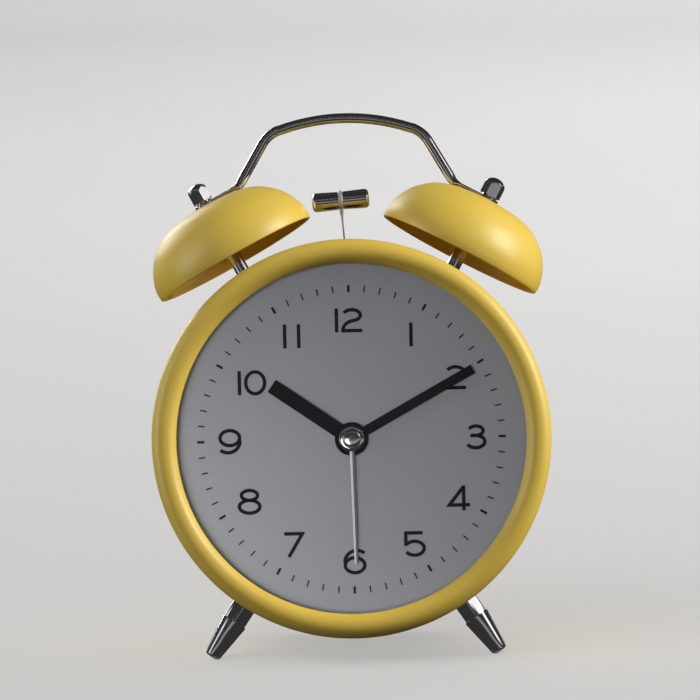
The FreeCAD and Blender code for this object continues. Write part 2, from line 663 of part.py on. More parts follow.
def make_centre_wheel():
    """Wheel that drives the minute pipe through a friction fit; the hands can be set past it."""
    phase = mesh_phase(THIRD_PINION_Z, -90.0, CENTRE_Z, -90.0)
    wheel = gear(CENTRE_Z, CENTRE_M, phase, 7.4, 8.0)
    wheel = fused([wheel, cyl(2.4, 7.1, 8.4)])
    for i in range(5):
        x, z = polar(5.6, 90 + 72 * i)
        wheel = wheel.cut(cyl(2.0, 7.0, 8.6, x, z))
    return wheel.cut(cyl(MINUTE_PIPE[0] + CLEAR, 6, 10))


def make_minute_pipe():
    outer, bore, front = MINUTE_PIPE
    parts = [cyl(outer, front, 8.55), gear(CANNON_Z, MOTION_M, 30.0, 5.6, 6.8)]
    return fused(parts).cut(cyl(bore, -6, 12))


def make_motion_wheel():
    x, z = MOTION_AT
    phase = mesh_phase(CANNON_Z, 30.0, MOTION_Z, 210.0)
    parts = [gear(MOTION_Z, MOTION_M, phase, 5.8, 6.5, MOTION_AT),
             gear(MOTION_PINION_Z, HOUR_M, 30.0, 4.35, 5.8, MOTION_AT)]
    return fused(parts).cut(cyl(0.85, 0, 12, x, z))


def make_hour_wheel():
    outer, bore, front = HOUR_PIPE
    phase = mesh_phase(MOTION_PINION_Z, 30.0, HOUR_Z, 30.0)
    wheel = fused([gear(HOUR_Z, HOUR_M, phase, 4.5, 5.2), cyl(outer, front, 5.35)])
    return wheel.cut(cyl(bore, -6, 12))


def make_alarm_wheel():
    outer, bore, front = ALARM_PIPE
    wheel = fused([gear(ALARM_Z, ALARM_M, 0.0, 3.1, 3.9), cyl(outer, front, 4.2)])
    return wheel.cut(cyl(bore, -6, 12))


def make_set_shaft(at, teeth, module, phase, y0, y1):
    """Long shaft from the movement out through the back, with its pinion at the front."""
    x, z = at
    shaft = fused([cyl(1.2, PLATE_BACK + 0.25, COVER_BACK + 6.5, x, z), cyl(0.8, 1.7, 3.5, x, z),
                   gear(teeth, module, phase, y0, y1, at)])
    return shaft


def make_knob(at):
    """Fluted setting knob."""
    x, z = at
    y0 = COVER_BACK + 0.6
    y1 = COVER_BACK + 7.6
    knob = cyl(KNOB_R, y0 + 1.2, y1, x, z).fuse(cyl(3.2, y0, y0 + 1.3, x, z))
    for i in range(18):
        fx, fz = polar(KNOB_R + 0.35, 20 * i, x, z)
        knob = knob.cut(cyl(0.75, y0 + 1.0, y1 + 1, fx, fz))
    knob = knob.cut(tube(4.3, 3.9, y1 - 0.4, y1 + 1, x, z))
    return knob.cut(cyl(1.22, y0 - 1, COVER_BACK + 6.52, x, z))


def make_intermediate():
    x, z = INTER_AT
    pinion_phase = mesh_phase(SECONDS_Z, 0.0, INTER_PINION_Z, -60.0)
    parts = [gear(INTER_PINION_Z, SECONDS_M, pinion_phase, 10.45, 11.5, INTER_AT),
             gear(INTER_Z, INTER_M, 0.0, 12.1, 12.7, INTER_AT),
             cyl(0.8, 11.5, 12.1, x, z), cyl(0.35, 10.0, 18.1, x, z)]
    return fused(parts)


def make_rotor():
    """Stepper rotor: two-pole magnet disc and the pinion that drives the train."""
    x, z = ROTOR_AT
    phase = mesh_phase(INTER_Z, 0.0, ROTOR_Z, -100.0)
    parts = [gear(ROTOR_Z, INTER_M, phase, 11.9, 13.2, ROTOR_AT), cyl(2.4, 13.6, 15.2, x, z),
             cyl(0.7, 13.1, 13.7, x, z), cyl(0.35, 10.0, 18.1, x, z)]
    return fused(parts)


# ---------------------------------------------------------------- fixed parts of the movement
def make_front_plate():
    base = block(-HOUSING_HALF, HOUSING_HALF, PLATE_FRONT, PLATE_BACK, HOUSING_LOW, HOUSING_TOP)
    bush = cyl(BUSH[0], -0.3, PLATE_FRONT + 0.1)
    flange = cyl(6.5, DIAL_THICK, PLATE_FRONT + 0.1)
    stud = cyl(0.78, PLATE_BACK - 0.1, 6.9, *MOTION_AT)
    shoulder = cyl(1.2, 4.02, 4.25, *MOTION_AT)
    body = fused([base, bush, flange, stud, shoulder]).cut(cyl(BUSH[1], -5, 5))
    for at in (SETTER_AT, ALARM_SETTER_AT):
        body = body.cut(cyl(0.86, 1.6, 5, *at))
    return body.cut(cyl(0.46, 1.8, 3, *THIRD_AT))


def make_mid_bridge():
    """Thin inner plate that carries the front pivots of rotor and intermediate wheel."""
    body = block(-14.0, 24.0, 9.95, 10.25, -20.0, 6.0)
    legs = [cyl(1.5, 10.2, HOUSING_BACK - 1.2, 22.0, 4.0), cyl(1.5, 10.2, HOUSING_BACK - 1.2, -12.2, -7.0),
            cyl(1.5, 10.2, HOUSING_BACK - 1.2, 22.0, -18.0)]
    body = fused([body] + legs).cut(cyl(1.15, 9, 12))
    body = body.cut(cyl(1.9, 9, 12, *ALARM_SETTER_AT))
    for at in (INTER_AT, ROTOR_AT):
        body = body.cut(cyl(0.42, 9, 12, *at))
    return body


def make_housing():
    outer = block(-HOUSING_HALF, HOUSING_HALF, PLATE_BACK, HOUSING_BACK, HOUSING_LOW, HOUSING_TOP)
    inner = block(-HOUSING_HALF + 1.2, HOUSING_HALF - 1.2, PLATE_BACK - 1, HOUSING_BACK - 1.2,
                  HOUSING_LOW + 1.2, HOUSING_TOP - 1.2)
    body = outer.cut(inner)
    for at in (SETTER_AT, ALARM_SETTER_AT):
        body = body.cut(cyl(1.28, 15, 20, *at))
    for at, radius in ((THIRD_AT, 0.46), (INTER_AT, 0.42), (ROTOR_AT, 0.42)):
        body = body.cut(cyl(radius, 17, 18.25, *at))
    bearing = tube(2.0, SECOND_SHAFT_R + 0.08, 15.0, HOUSING_BACK - 1.0)
    return fused([body, bearing])


def make_stator():
    """Soft-iron plate round the rotor, running down to both ends of the coil core."""
    x, z = ROTOR_AT
    y0, y1 = 14.0, 14.8
    ring = cyl(4.6, y0, y1, x, z)
    arms = plate([(x - 14.0, z - 1.4), (x - 3.0, z + 3.2), (x + 3.0, z + 3.2), (x + 14.0, z - 1.4),
                  (x + 14.0, -25.5), (x + 10.4, -25.5), (x + 10.4, z - 4.0), (x - 10.4, z - 4.0),
                  (x - 10.4, -25.5), (x - 14.0, -25.5)], y0, y1)
    return fused([ring, arms]).cut(cyl(3.0, 13, 16, x, z))


def make_coil():
    """Stepper coil on its core bar, lying under the stator's arms."""
    x = ROTOR_AT[0]
    z = -22.9
    core = block(x - 13.8, x + 13.8, 13.2, 14.0, z - 1.6, z + 1.6)
    winding = Part.makeCylinder(3.1, 18.0, V(x - 9.0, 13.6, z), X_DIR)
    flanges = [Part.makeCylinder(3.6, 0.8, V(x - 9.8, 13.6, z), X_DIR),
               Part.makeCylinder(3.6, 0.8, V(x + 9.0, 13.6, z), X_DIR)]
    return fused([core, winding] + flanges)


def make_circuit_board():
    return block(-26.4, -18.0, 15.6, 16.6, -26.0, 18.0)


def make_chip():
    return block(-25.4, -19.2, 14.0, 15.6, -8.0, -1.8)


def make_crystal():
    """Small can beside the chip."""
    return Part.makeCylinder(1.5, 8.0, V(-22.3, 14.1, 2.0), Z_DIR)


# ---------------------------------------------------------------- battery and back
def make_tray():
    low, high = BATTERY_Z - 9.0, BATTERY_Z + 9.0
    outer = block(-TRAY_HALF, TRAY_HALF, TRAY_FRONT, COVER_FRONT, low, high)
    inner = block(-TRAY_HALF + 1.2, TRAY_HALF - 1.2, TRAY_FRONT + 1.2, COVER_FRONT + 1, low + 1.2, high - 1.2)
    return outer.cut(inner)


def make_battery():
    body = Part.makeCylinder(BATTERY_R, 48.5, V(-24.5, BATTERY_Y, BATTERY_Z), X_DIR)
    nub = Part.makeCylinder(2.7, 1.4, V(24.0, BATTERY_Y, BATTERY_Z), X_DIR)
    return fused([body, nub])


def make_plus_contact():
    x = TRAY_HALF - 1.2
    base = block(x - 0.4, x, BATTERY_Y - 5, BATTERY_Y + 5, BATTERY_Z - 5, BATTERY_Z + 5)
    button = Part.makeCylinder(2.4, 1.9, V(x - 2.2, BATTERY_Y, BATTERY_Z), X_DIR)
    return fused([base, button])


def make_minus_contact():
    """Conical coil spring on a plate."""
    x = -TRAY_HALF + 1.2
    base = block(x, x + 0.4, BATTERY_Y - 5, BATTERY_Y + 5, BATTERY_Z - 5, BATTERY_Z + 5)
    helix = Part.makeHelix(0.75, 2.25, 3.2)
    profile = Part.Wire([Part.makeCircle(0.22, V(3.2, 0, 0), Y_DIR)])
    coil = Part.Wire(helix.Edges).makePipeShell([profile], True, True)
    coil = stand(coil, V(x + 0.45, BATTERY_Y, BATTERY_Z), X_DIR)
    return fused([base, coil])


def make_battery_door():
    y0 = COVER_BACK + 0.2
    lid = block(-30.2, 30.2, y0, y0 + 1.1, -43.3, -22.8)
    grip = [block(-6.0, 6.0, y0 + 1.0, y0 + 1.7, -26.0 - 1.6 * i, -25.4 - 1.6 * i) for i in range(4)]
    return fused([lid] + grip)


def make_switch_body():
    body = block(-9.0, 9.0, COVER_FRONT - 6.0, COVER_FRONT, SWITCH_Z - 5.0, SWITCH_Z + 5.0)
    return body.cut(block(-7.6, 7.6, COVER_FRONT - 2.6, COVER_FRONT + 1, SWITCH_Z - 2.6, SWITCH_Z + 2.6))


def make_switch_slider():
    knob = block(-5.9, -0.1, COVER_BACK + 0.3, COVER_BACK + 3.0, SWITCH_Z - 2.4, SWITCH_Z + 2.4)
    ribs = [block(-4.4 + 1.2 * i, -4.0 + 1.2 * i, COVER_BACK + 2.8, COVER_BACK + 3.5, SWITCH_Z - 2.0,
                  SWITCH_Z + 2.0) for i in range(3)]
    neck = block(-4.8, -1.2, COVER_FRONT - 0.5, COVER_BACK + 0.4, SWITCH_Z - 1.0, SWITCH_Z + 1.0)
    foot = block(-6.2, 0.2, COVER_FRONT - 1.7, COVER_FRONT - 0.4, SWITCH_Z - 2.2, SWITCH_Z + 2.2)
    return fused([knob, neck, foot] + ribs)


# ---------------------------------------------------------------- the whole clock
def build():
    """Every part by name, each a list of solids, in the upright frame."""
    nodes = {}
    nodes["case_drum"] = [make_drum()]
    nodes["front_bezel"] = [make_bezel()]
    nodes["lens"] = [cyl(LENS_R, LENS_FRONT, LENS_BACK)]
    nodes["dial_spacer_ring"] = [make_spacer_ring()]
    nodes["dial_plate"] = [tube(LENS_R, BUSH[0] + CLEAR, 0.0, DIAL_THICK)]
    nodes["dial_retaining_ring"] = [make_retaining_ring()]
    nodes["back_pillars"] = make_pillars()
    nodes["back_cover"] = [make_back_cover()]
    nodes["back_cover_screws"] = make_cover_screws()

    bell = stand(make_bell(), BELL_RIM, BELL_AXIS)
    post = make_post()
    nut = stand(make_cap_nut(), BELL_TOP + BELL_AXIS * TAB_THICK, BELL_AXIS)
    drum_gap = -(BELL_RIM_X * BELL_AXIS.x + BELL_RIM_Z * BELL_AXIS.z) + DRUM_R - DRUM_WALL
    inner_nut = make_inner_nut(6.5, 2.6, STUD_R + 0.04, drum_gap, BELL_RIM, BELL_AXIS)
    foot = make_foot()
    foot_nut = make_inner_nut(6.0, 2.4, 1.54, DRUM_R - DRUM_WALL, FOOT_BASE, FOOT_AXIS)
    for name, shape in (("bell", bell), ("bell_post", post), ("bell_nut", nut), ("foot", foot)):
        nodes["right_" + name] = [shape]
        nodes["left_" + name] = [mirrored(shape)]
    nodes["inner_nuts"] = [inner_nut, mirrored(inner_nut), foot_nut, mirrored(foot_nut)]
    nodes["handle"] = [make_handle()]

    nodes["hammer_slot_grommet"] = [make_grommet()]
    nodes["hammer_head"] = [make_hammer_head()]
    nodes["hammer_stem"] = [make_hammer_stem()]
    nodes["hammer_lever"] = [make_hammer_lever()]
    nodes["hammer_armature"] = [make_armature()]
    nodes["hammer_pivot_pin"] = [cyl(PIN_R, TOP_Y - 6.0, TOP_Y + 6.0, 0, PIVOT_Z)]
    nodes["striker_bracket"] = [make_striker_bracket()]
    nodes["striker_yoke"] = [make_striker_yoke()]
    nodes["striker_coil"] = [make_striker_coil()]

    alarm_bore, hour_bore, minute_bore = [pipe[0] + 0.02 for pipe in (ALARM_PIPE, HOUR_PIPE, MINUTE_PIPE)]
    nodes["alarm_hand"] = [make_bar_hand(ALARM_LEN, 1.0, 3.6, alarm_bore, -1.0, -0.7, ALARM_ANGLE)]
    nodes["hour_hand"] = [make_bar_hand(HOUR_LEN, HOUR_W, 5.05, hour_bore, -1.8, -1.4, HOUR_ANGLE)]
    nodes["minute_hand"] = [make_bar_hand(MINUTE_LEN, MINUTE_W, 4.5, minute_bore, -2.6, -2.2, MINUTE_ANGLE)]
    nodes["second_hand"] = [make_second_hand()]
    nodes["second_hand_cap"] = [make_second_cap()]

    nodes["seconds_wheel"] = [make_seconds_wheel()]
    nodes["third_wheel"] = [make_third_wheel()]
    nodes["centre_wheel"] = [make_centre_wheel()]
    nodes["minute_pipe"] = [make_minute_pipe()]
    nodes["motion_wheel"] = [make_motion_wheel()]
    nodes["hour_wheel"] = [make_hour_wheel()]
    nodes["alarm_wheel"] = [make_alarm_wheel()]
    nodes["intermediate_wheel"] = [make_intermediate()]
    nodes["stepper_rotor"] = [make_rotor()]
    motion_phase = mesh_phase(CANNON_Z, 30.0, MOTION_Z, 210.0)
    set_phase = mesh_phase(MOTION_Z, motion_phase, SETTER_Z, SETTER_DIR)
    alarm_phase = mesh_phase(ALARM_Z, 0.0, ALARM_SETTER_Z, 0.0)
    nodes["time_set_shaft"] = [make_set_shaft(SETTER_AT, SETTER_Z, MOTION_M, set_phase, 5.6, 6.8)]
    nodes["alarm_set_shaft"] = [make_set_shaft(ALARM_SETTER_AT, ALARM_SETTER_Z, ALARM_M, alarm_phase,
                                               3.0, 4.0)]
    nodes["time_set_knob"] = [make_knob(SETTER_AT)]
    nodes["alarm_set_knob"] = [make_knob(ALARM_SETTER_AT)]

    nodes["movement_front_plate"] = [make_front_plate()]
    nodes["movement_mid_bridge"] = [make_mid_bridge()]
    nodes["movement_housing"] = [make_housing()]
    nodes["stepper_stator"] = [make_stator()]
    nodes["stepper_coil"] = [make_coil()]
    nodes["circuit_board"] = [make_circuit_board()]
    nodes["board_components"] = [make_chip(), make_crystal()]

    nodes["battery_tray"] = [make_tray()]
    nodes["battery"] = [make_battery()]
    nodes["battery_contacts"] = [make_plus_contact(), make_minus_contact()]
    nodes["battery_door"] = [make_battery_door()]
    nodes["alarm_switch_body"] = [make_switch_body()]
    nodes["alarm_switch_slider"] = [make_switch_slider()]
    return nodes


def leaned(nodes):
    """Leans every part back and moves the clock onto the origin; returns the parts and the shift."""
    lean = FreeCAD.Placement(V(0, 0, 0), FreeCAD.Rotation(X_DIR, -LEAN))
    box = FreeCAD.BoundBox()
    out = {}
    for name, shapes in nodes.items():
        shape = shapes[0] if len(shapes) == 1 else Part.makeCompound(shapes)
        shape = shape.copy()
        shape.Placement = lean.multiply(shape.Placement)
        out[name] = shape
        box.add(shape.optimalBoundingBox())
    shift = V(-box.Center.x, -box.Center.y, FLOOR_DROP)
    for shape in out.values():
        shape.translate(shift)
    return out, shift


def main():
    os.makedirs("parts", exist_ok=True)
    placed, shift = leaned(build())
    for name, shape in placed.items():
        shape.exportStep("parts/" + name + ".step")
    print(len(placed), "parts, shift", shift)


if __name__ == "__main__":
    main()
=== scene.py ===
"""Looks of the twin-bell alarm clock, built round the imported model.

Pieces are drawn in the clock's own upright frame, in millimetres: X to the right of someone reading
the dial, Y towards the back, Z up, with the origin at the dial's centre on its printed face. The
matrix `upright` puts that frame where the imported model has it. Sizes that several pieces share are
named once, below; a piece's own sizes stand just before its function.
"""
import json
import math
import bpy
import bmesh
from mathutils import Matrix, Vector


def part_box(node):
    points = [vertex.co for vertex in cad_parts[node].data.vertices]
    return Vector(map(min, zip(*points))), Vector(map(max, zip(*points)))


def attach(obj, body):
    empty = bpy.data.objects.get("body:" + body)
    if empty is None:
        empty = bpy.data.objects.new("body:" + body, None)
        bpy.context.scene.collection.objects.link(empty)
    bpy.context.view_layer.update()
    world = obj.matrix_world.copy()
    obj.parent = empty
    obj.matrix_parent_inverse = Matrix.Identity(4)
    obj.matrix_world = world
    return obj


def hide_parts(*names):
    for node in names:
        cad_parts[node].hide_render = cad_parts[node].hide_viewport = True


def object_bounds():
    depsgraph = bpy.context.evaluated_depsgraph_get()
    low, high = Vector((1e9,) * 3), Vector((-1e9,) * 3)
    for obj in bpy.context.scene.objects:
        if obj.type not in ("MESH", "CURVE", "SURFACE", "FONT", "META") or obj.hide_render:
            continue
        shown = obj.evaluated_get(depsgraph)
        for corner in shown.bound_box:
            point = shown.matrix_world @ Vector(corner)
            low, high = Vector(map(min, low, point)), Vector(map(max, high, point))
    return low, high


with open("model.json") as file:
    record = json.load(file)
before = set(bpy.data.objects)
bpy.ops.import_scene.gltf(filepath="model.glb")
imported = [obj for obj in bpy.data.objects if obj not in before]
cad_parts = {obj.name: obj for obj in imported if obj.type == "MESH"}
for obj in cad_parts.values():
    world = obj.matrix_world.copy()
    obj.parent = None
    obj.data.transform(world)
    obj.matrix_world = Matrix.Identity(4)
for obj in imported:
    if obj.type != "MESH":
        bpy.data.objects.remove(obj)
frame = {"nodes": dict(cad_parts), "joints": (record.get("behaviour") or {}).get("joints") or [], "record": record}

MM = 0.001
cad_box = [list(corner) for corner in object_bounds()]
nodes = frame["nodes"]
joints = {joint["name"]: joint for joint in frame["joints"]}

# ---- the upright frame, from the hands' axis and the dial plate
DIAL_THICK = 0.8
axis = Vector(joints["minute_spin"]["axis"]).normalized()
side = Vector((1.0, 0.0, 0.0))
upward = side.cross(axis)
low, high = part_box("dial_plate")
dial_centre = (low + high) / 2 - axis * (DIAL_THICK / 2 * MM)
upright = Matrix((side, axis, upward)).transposed().to_4x4()
upright.translation = dial_centre

# ---- sizes that the pieces share
DRUM_R = 58.5
DRUM_FRONT = -6.4
DRUM_REAR = 43.0
TOP_Y = 16.0
BELL_TILT = math.radians(28.5)
BELL_RIM = Vector((34.0, TOP_Y, 56.1))
BELL_H = 18.7
TAB_THICK = 1.0


# ------------------------------------------------------------------ mesh helpers
def make_object(name, verts, faces, place=None, smooth=30.0):
    """Mesh object from points in millimetres.

    Faces that meet at more than `smooth` degrees keep a crisp edge.
    """
    mesh = bpy.data.meshes.new(name)
    mesh.from_pydata([(x * MM, y * MM, z * MM) for x, y, z in verts], [], faces)
    work = bmesh.new()
    work.from_mesh(mesh)
    bmesh.ops.remove_doubles(work, verts=work.verts, dist=1e-7)
    bmesh.ops.recalc_face_normals(work, faces=work.faces)
    work.to_mesh(mesh)
    work.free()
    mesh.shade_smooth()
    mesh.set_sharp_from_angle(angle=math.radians(smooth))
    obj = bpy.data.objects.new(name, mesh)
    bpy.context.scene.collection.objects.link(obj)
    obj.matrix_world = upright @ (place or Matrix.Identity(4))
    return obj


def shift(x, y, z):
    """Translation in millimetres."""
    return Matrix.Translation(Vector((x, y, z)) * MM)


def arc(cx, cy, rx, ry, start, end, count=24):
    """Points on an elliptical arc, angles in degrees."""
    points = []
    for i in range(count + 1):
        a = math.radians(start + (end - start) * i / count)
        points.append((cx + rx * math.cos(a), cy + ry * math.sin(a)))
    return points


def corner_curve(start, corner, end, steps):
    """Points from start to end, curving round the corner."""
    points = []
    for k in range(steps + 1):
        t = k / steps
        points.append(tuple(start * (1 - t) ** 2 + corner * 2 * t * (1 - t) + end * t * t))
    return points


def rounded(points, radius):
    """The same closed outline with its corners rounded."""
    out = []
    for i, point in enumerate(points):
        corner = Vector(point)
        before = Vector(points[i - 1]) - corner
        after = Vector(points[(i + 1) % len(points)]) - corner
        turn = math.pi - before.angle(after)
        back = min(radius * math.tan(turn / 2), 0.49 * min(before.length, after.length))
        start = corner + before.normalized() * back
        end = corner + after.normalized() * back
        out += corner_curve(start, corner, end, 6)
    return out


def height_to_radius(rows, height):
    """Radius at a height, read between (height, radius) rows."""
    for (h0, r0), (h1, r1) in zip(rows, rows[1:]):
        if height <= h1 + 1e-9:
            return r0 + (r1 - r0) * (height - h0) / (h1 - h0)
    return rows[-1][1]


def lathe(name, profile, segments=192, place=None, smooth=30.0, closed=True, about="Y"):
    """Solid turned from (radius, height) points about Y, or about Z or X."""
    verts = []
    for i in range(segments):
        a = 2 * math.pi * i / segments
        for r, h in profile:
            u, v = r * math.cos(a), r * math.sin(a)
            verts.append({"Y": (u, h, v), "Z": (u, v, h), "X": (h, u, v)}[about])
    n = len(profile)
    faces = []
    for i in range(segments):
        j = (i + 1) % segments
        for k in range(n if closed else n - 1):
            m = (k + 1) % n
            faces.append([i * n + k, i * n + m, j * n + m, j * n + k])
    return make_object(name, verts, faces, place, smooth)


def slab(name, outline, y0, y1, place=None, bevel=0.0):
    """Flat piece from an X, Z outline, with softened edges if a bevel is given."""
    n = len(outline)
    verts = [(x, y0, z) for x, z in outline] + [(x, y1, z) for x, z in outline]
    faces = [list(range(n)), list(range(2 * n - 1, n - 1, -1))]
    for i in range(n):
        j = (i + 1) % n
        faces.append([i, j, n + j, n + i])
    obj = make_object(name, verts, faces, place)
    if bevel:
        mod = obj.modifiers.new("edge", "BEVEL")
        mod.width = bevel * MM
        mod.segments = 2
        mod.limit_method = "ANGLE"
        mod.harden_normals = True
    return obj


def polar_solid(name, radius, heights, place, smooth):
    """Solid about Z whose radius is a function of angle and height."""
    verts = []
    faces = []
    n = len(heights)
    segments = 96
    for i in range(segments):
        a = 2 * math.pi * i / segments
        for h in heights:
            r = radius(a, h)
            verts.append((r * math.cos(a), r * math.sin(a), h))
    for i in range(segments):
        j = (i + 1) % segments
        for k in range(n - 1):
            faces.append([i * n + k, i * n + k + 1, j * n + k + 1, j * n + k])
    faces.append([i * n for i in range(segments)])
    faces.append([i * n + n - 1 for i in range(segments - 1, -1, -1)])
    return make_object(name, verts, faces, place, smooth)


def sweep(name, path, sizes):
    """Bar along an X, Z path at the handle's depth.

    Each of the sizes is half the thickness in the path's plane and half the width along Y. A section
    much wider than it is thick is nearly a rectangle, and any other is round.
    """
    verts = []
    faces = []
    n = len(path)
    count = 28
    for i, (x, z) in enumerate(path):
        before = Vector(path[max(i - 1, 0)])
        after = Vector(path[min(i + 1, n - 1)])
        run = (after - before).normalized()
        thick, wide = sizes[i]
        power = 2.0 if wide < thick * 1.3 else 3.2
        for k in range(count):
            a = 2 * math.pi * k / count
            c, s = math.cos(a), math.sin(a)
            u = thick * math.copysign(abs(c) ** (2 / power), c)
            v = wide * math.copysign(abs(s) ** (2 / power), s)
            verts.append((x - run.y * u, TOP_Y + v, z + run.x * u))
    for i in range(n - 1):
        for k in range(count):
            m = (k + 1) % count
            faces.append([i * count + k, i * count + m, (i + 1) * count + m, (i + 1) * count + k])
    faces.append(list(range(count)))
    faces.append([(n - 1) * count + k for k in range(count - 1, -1, -1)])
    return make_object(name, verts, faces, smooth=40.0)


def axis_place(base, direction, spin=0.0):
    """Placement that runs a piece's Z along direction from base."""
    turn = Vector((0, 0, 1)).rotation_difference(direction).to_matrix().to_4x4()
    return shift(*base) @ turn @ Matrix.Rotation(spin, 4, "Z")


# ------------------------------------------------------------------ materials
def new_material(name, color, rough, metal=0.0):
    """Principled material whose nodes the caller adds to."""
    mat = bpy.data.materials.new(name)
    mat.use_nodes = True
    shader = mat.node_tree.nodes["Principled BSDF"]
    shader.inputs["Base Color"].default_value = (*color, 1.0)
    shader.inputs["Roughness"].default_value = rough
    shader.inputs["Metallic"].default_value = metal
    return mat, shader


def coords(mat, stretch=(1.0, 1.0, 1.0)):
    """Object coordinates, stretched."""
    tree = mat.node_tree
    source = tree.nodes.new("ShaderNodeTexCoord")
    mapping = tree.nodes.new("ShaderNodeMapping")
    mapping.inputs["Scale"].default_value = stretch
    tree.links.new(source.outputs["Object"], mapping.inputs["Vector"])
    return mapping.outputs["Vector"]


def noise(mat, vector, scale, detail=3.0, rough=0.5):
    """Noise value."""
    node = mat.node_tree.nodes.new("ShaderNodeTexNoise")
    node.inputs["Scale"].default_value = scale
    node.inputs["Detail"].default_value = detail
    node.inputs["Roughness"].default_value = rough
    mat.node_tree.links.new(vector, node.inputs["Vector"])
    return node.outputs["Fac"]


def ramp(mat, value, stops):
    """Colour ramp between (position, colour) stops."""
    node = mat.node_tree.nodes.new("ShaderNodeValToRGB")
    for element, (position, color) in zip(node.color_ramp.elements, stops):
        element.position = position
        element.color = (*color, 1.0)
    mat.node_tree.links.new(value, node.inputs["Fac"])
    return node.outputs["Color"]


def spread(mat, value, low_value, high_value):
    """Maps the middle of a noise value's range onto another range."""
    node = mat.node_tree.nodes.new("ShaderNodeMapRange")
    node.inputs["From Min"].default_value = 0.3
    node.inputs["From Max"].default_value = 0.7
    node.inputs["To Min"].default_value = low_value
    node.inputs["To Max"].default_value = high_value
    mat.node_tree.links.new(value, node.inputs["Value"])
    return node.outputs["Result"]


def bump(mat, shader, height, strength, distance):
    """Fine relief in the surface."""
    node = mat.node_tree.nodes.new("ShaderNodeBump")
    node.inputs["Strength"].default_value = strength
    node.inputs["Distance"].default_value = distance
    mat.node_tree.links.new(height, node.inputs["Height"])
    mat.node_tree.links.new(node.outputs["Normal"], shader.inputs["Normal"])


def link(mat, value, shader, name):
    """Feeds a node's value to one of the shader's sockets."""
    mat.node_tree.links.new(value, shader.inputs[name])


def paint(name, light, dark, rough):
    """Sprayed satin paint: faint cloudiness and a very fine orange peel."""
    mat, shader = new_material(name, light, rough)
    vector = coords(mat)
    link(mat, ramp(mat, noise(mat, vector, 45.0), [(0.3, dark), (0.7, light)]), shader, "Base Color")
    link(mat, spread(mat, noise(mat, vector, 900.0), rough - 0.04, rough + 0.05), shader, "Roughness")
    bump(mat, shader, noise(mat, vector, 1500.0, 2.0), 0.10, 0.00004)
    return mat


def polished(name, color, low_rough, high_rough):
    """Plated metal with faint handling marks."""
    mat, shader = new_material(name, color, low_rough, 1.0)
    vector = coords(mat)
    tint = tuple(c * 0.93 for c in color)
    cloud = noise(mat, vector, 104.0)
    link(mat, ramp(mat, cloud, [(0.35, tint), (0.65, color)]), shader, "Base Color")
    link(mat, spread(mat, noise(mat, vector, 260.0), low_rough, high_rough), shader, "Roughness")
    bump(mat, shader, noise(mat, vector, 780.0), 0.04, 0.00002)
    return mat


def brushed(name, color, rough, metal, stretch):
    """Metal or lacquer with fine lines one way."""
    mat, shader = new_material(name, color, rough, metal)
    vector = coords(mat, stretch)
    lines = noise(mat, vector, 120.0, 4.0, 0.7)
    tint = tuple(c * 0.88 for c in color)
    link(mat, ramp(mat, lines, [(0.3, tint), (0.7, color)]), shader, "Base Color")
    link(mat, spread(mat, lines, rough - 0.05, rough + 0.07), shader, "Roughness")
    bump(mat, shader, lines, 0.12, 0.00003)
    return mat


def satin_sheet(name, color, rough, metal):
    """Silver-grey sheet with an even satin sheen and barely visible vertical grain."""
    mat, shader = new_material(name, color, rough, metal)
    grain = noise(mat, coords(mat, (60.0, 1.0, 2.0)), 30.0, 3.0, 0.6)
    tint = tuple(c * 0.97 for c in color)
    link(mat, ramp(mat, grain, [(0.3, tint), (0.7, color)]), shader, "Base Color")
    link(mat, spread(mat, noise(mat, coords(mat), 40.0), rough - 0.01, rough + 0.01), shader, "Roughness")
    return mat


def moulded(name, color, rough, grain=1400.0):
    """Moulded plastic with a spark-eroded grain."""
    mat, shader = new_material(name, color, rough)
    vector = coords(mat)
    tint = tuple(c * 0.82 for c in color)
    link(mat, ramp(mat, noise(mat, vector, 220.0), [(0.3, tint), (0.7, color)]), shader, "Base Color")
    link(mat, spread(mat, noise(mat, vector, grain), rough - 0.06, rough + 0.06), shader, "Roughness")
    bump(mat, shader, noise(mat, vector, grain), 0.2, 0.00005)
    return mat


GLASS_REFLECTANCE = 0.022
GLASS_POWER = 5.0


def clear_glass(name):
    """Thin clear lens: nearly all light passes, glancing views reflect, with faint smears.

    Both faces of the lens use Schlick's formula, which never blocks the view through the back face.
    """
    mat = bpy.data.materials.new(name)
    mat.use_nodes = True
    tree = mat.node_tree
    tree.nodes.remove(tree.nodes["Principled BSDF"])
    clear = tree.nodes.new("ShaderNodeBsdfTransparent")
    shine = tree.nodes.new("ShaderNodeBsdfGlossy")
    shine.inputs["Color"].default_value = (0.9, 0.9, 0.9, 1.0)
    vector = coords(mat)
    tree.links.new(spread(mat, noise(mat, vector, 60.0), 0.03, 0.08), shine.inputs["Roughness"])
    view_tilt = tree.nodes.new("ShaderNodeLayerWeight")
    glancing = tree.nodes.new("ShaderNodeMath")
    glancing.operation = "POWER"
    glancing.inputs[1].default_value = GLASS_POWER
    reflected = tree.nodes.new("ShaderNodeMath")
    reflected.operation = "MULTIPLY_ADD"
    reflected.inputs[1].default_value = 1.0 - GLASS_REFLECTANCE
    reflected.inputs[2].default_value = GLASS_REFLECTANCE
    mix = tree.nodes.new("ShaderNodeMixShader")
    tree.links.new(view_tilt.outputs["Facing"], glancing.inputs[0])
    tree.links.new(glancing.outputs["Value"], reflected.inputs[0])
    tree.links.new(reflected.outputs["Value"], mix.inputs["Fac"])
    tree.links.new(clear.outputs["BSDF"], mix.inputs[1])
    tree.links.new(shine.outputs["BSDF"], mix.inputs[2])
    tree.links.new(mix.outputs["Shader"], tree.nodes["Material Output"].inputs["Surface"])
    return mat


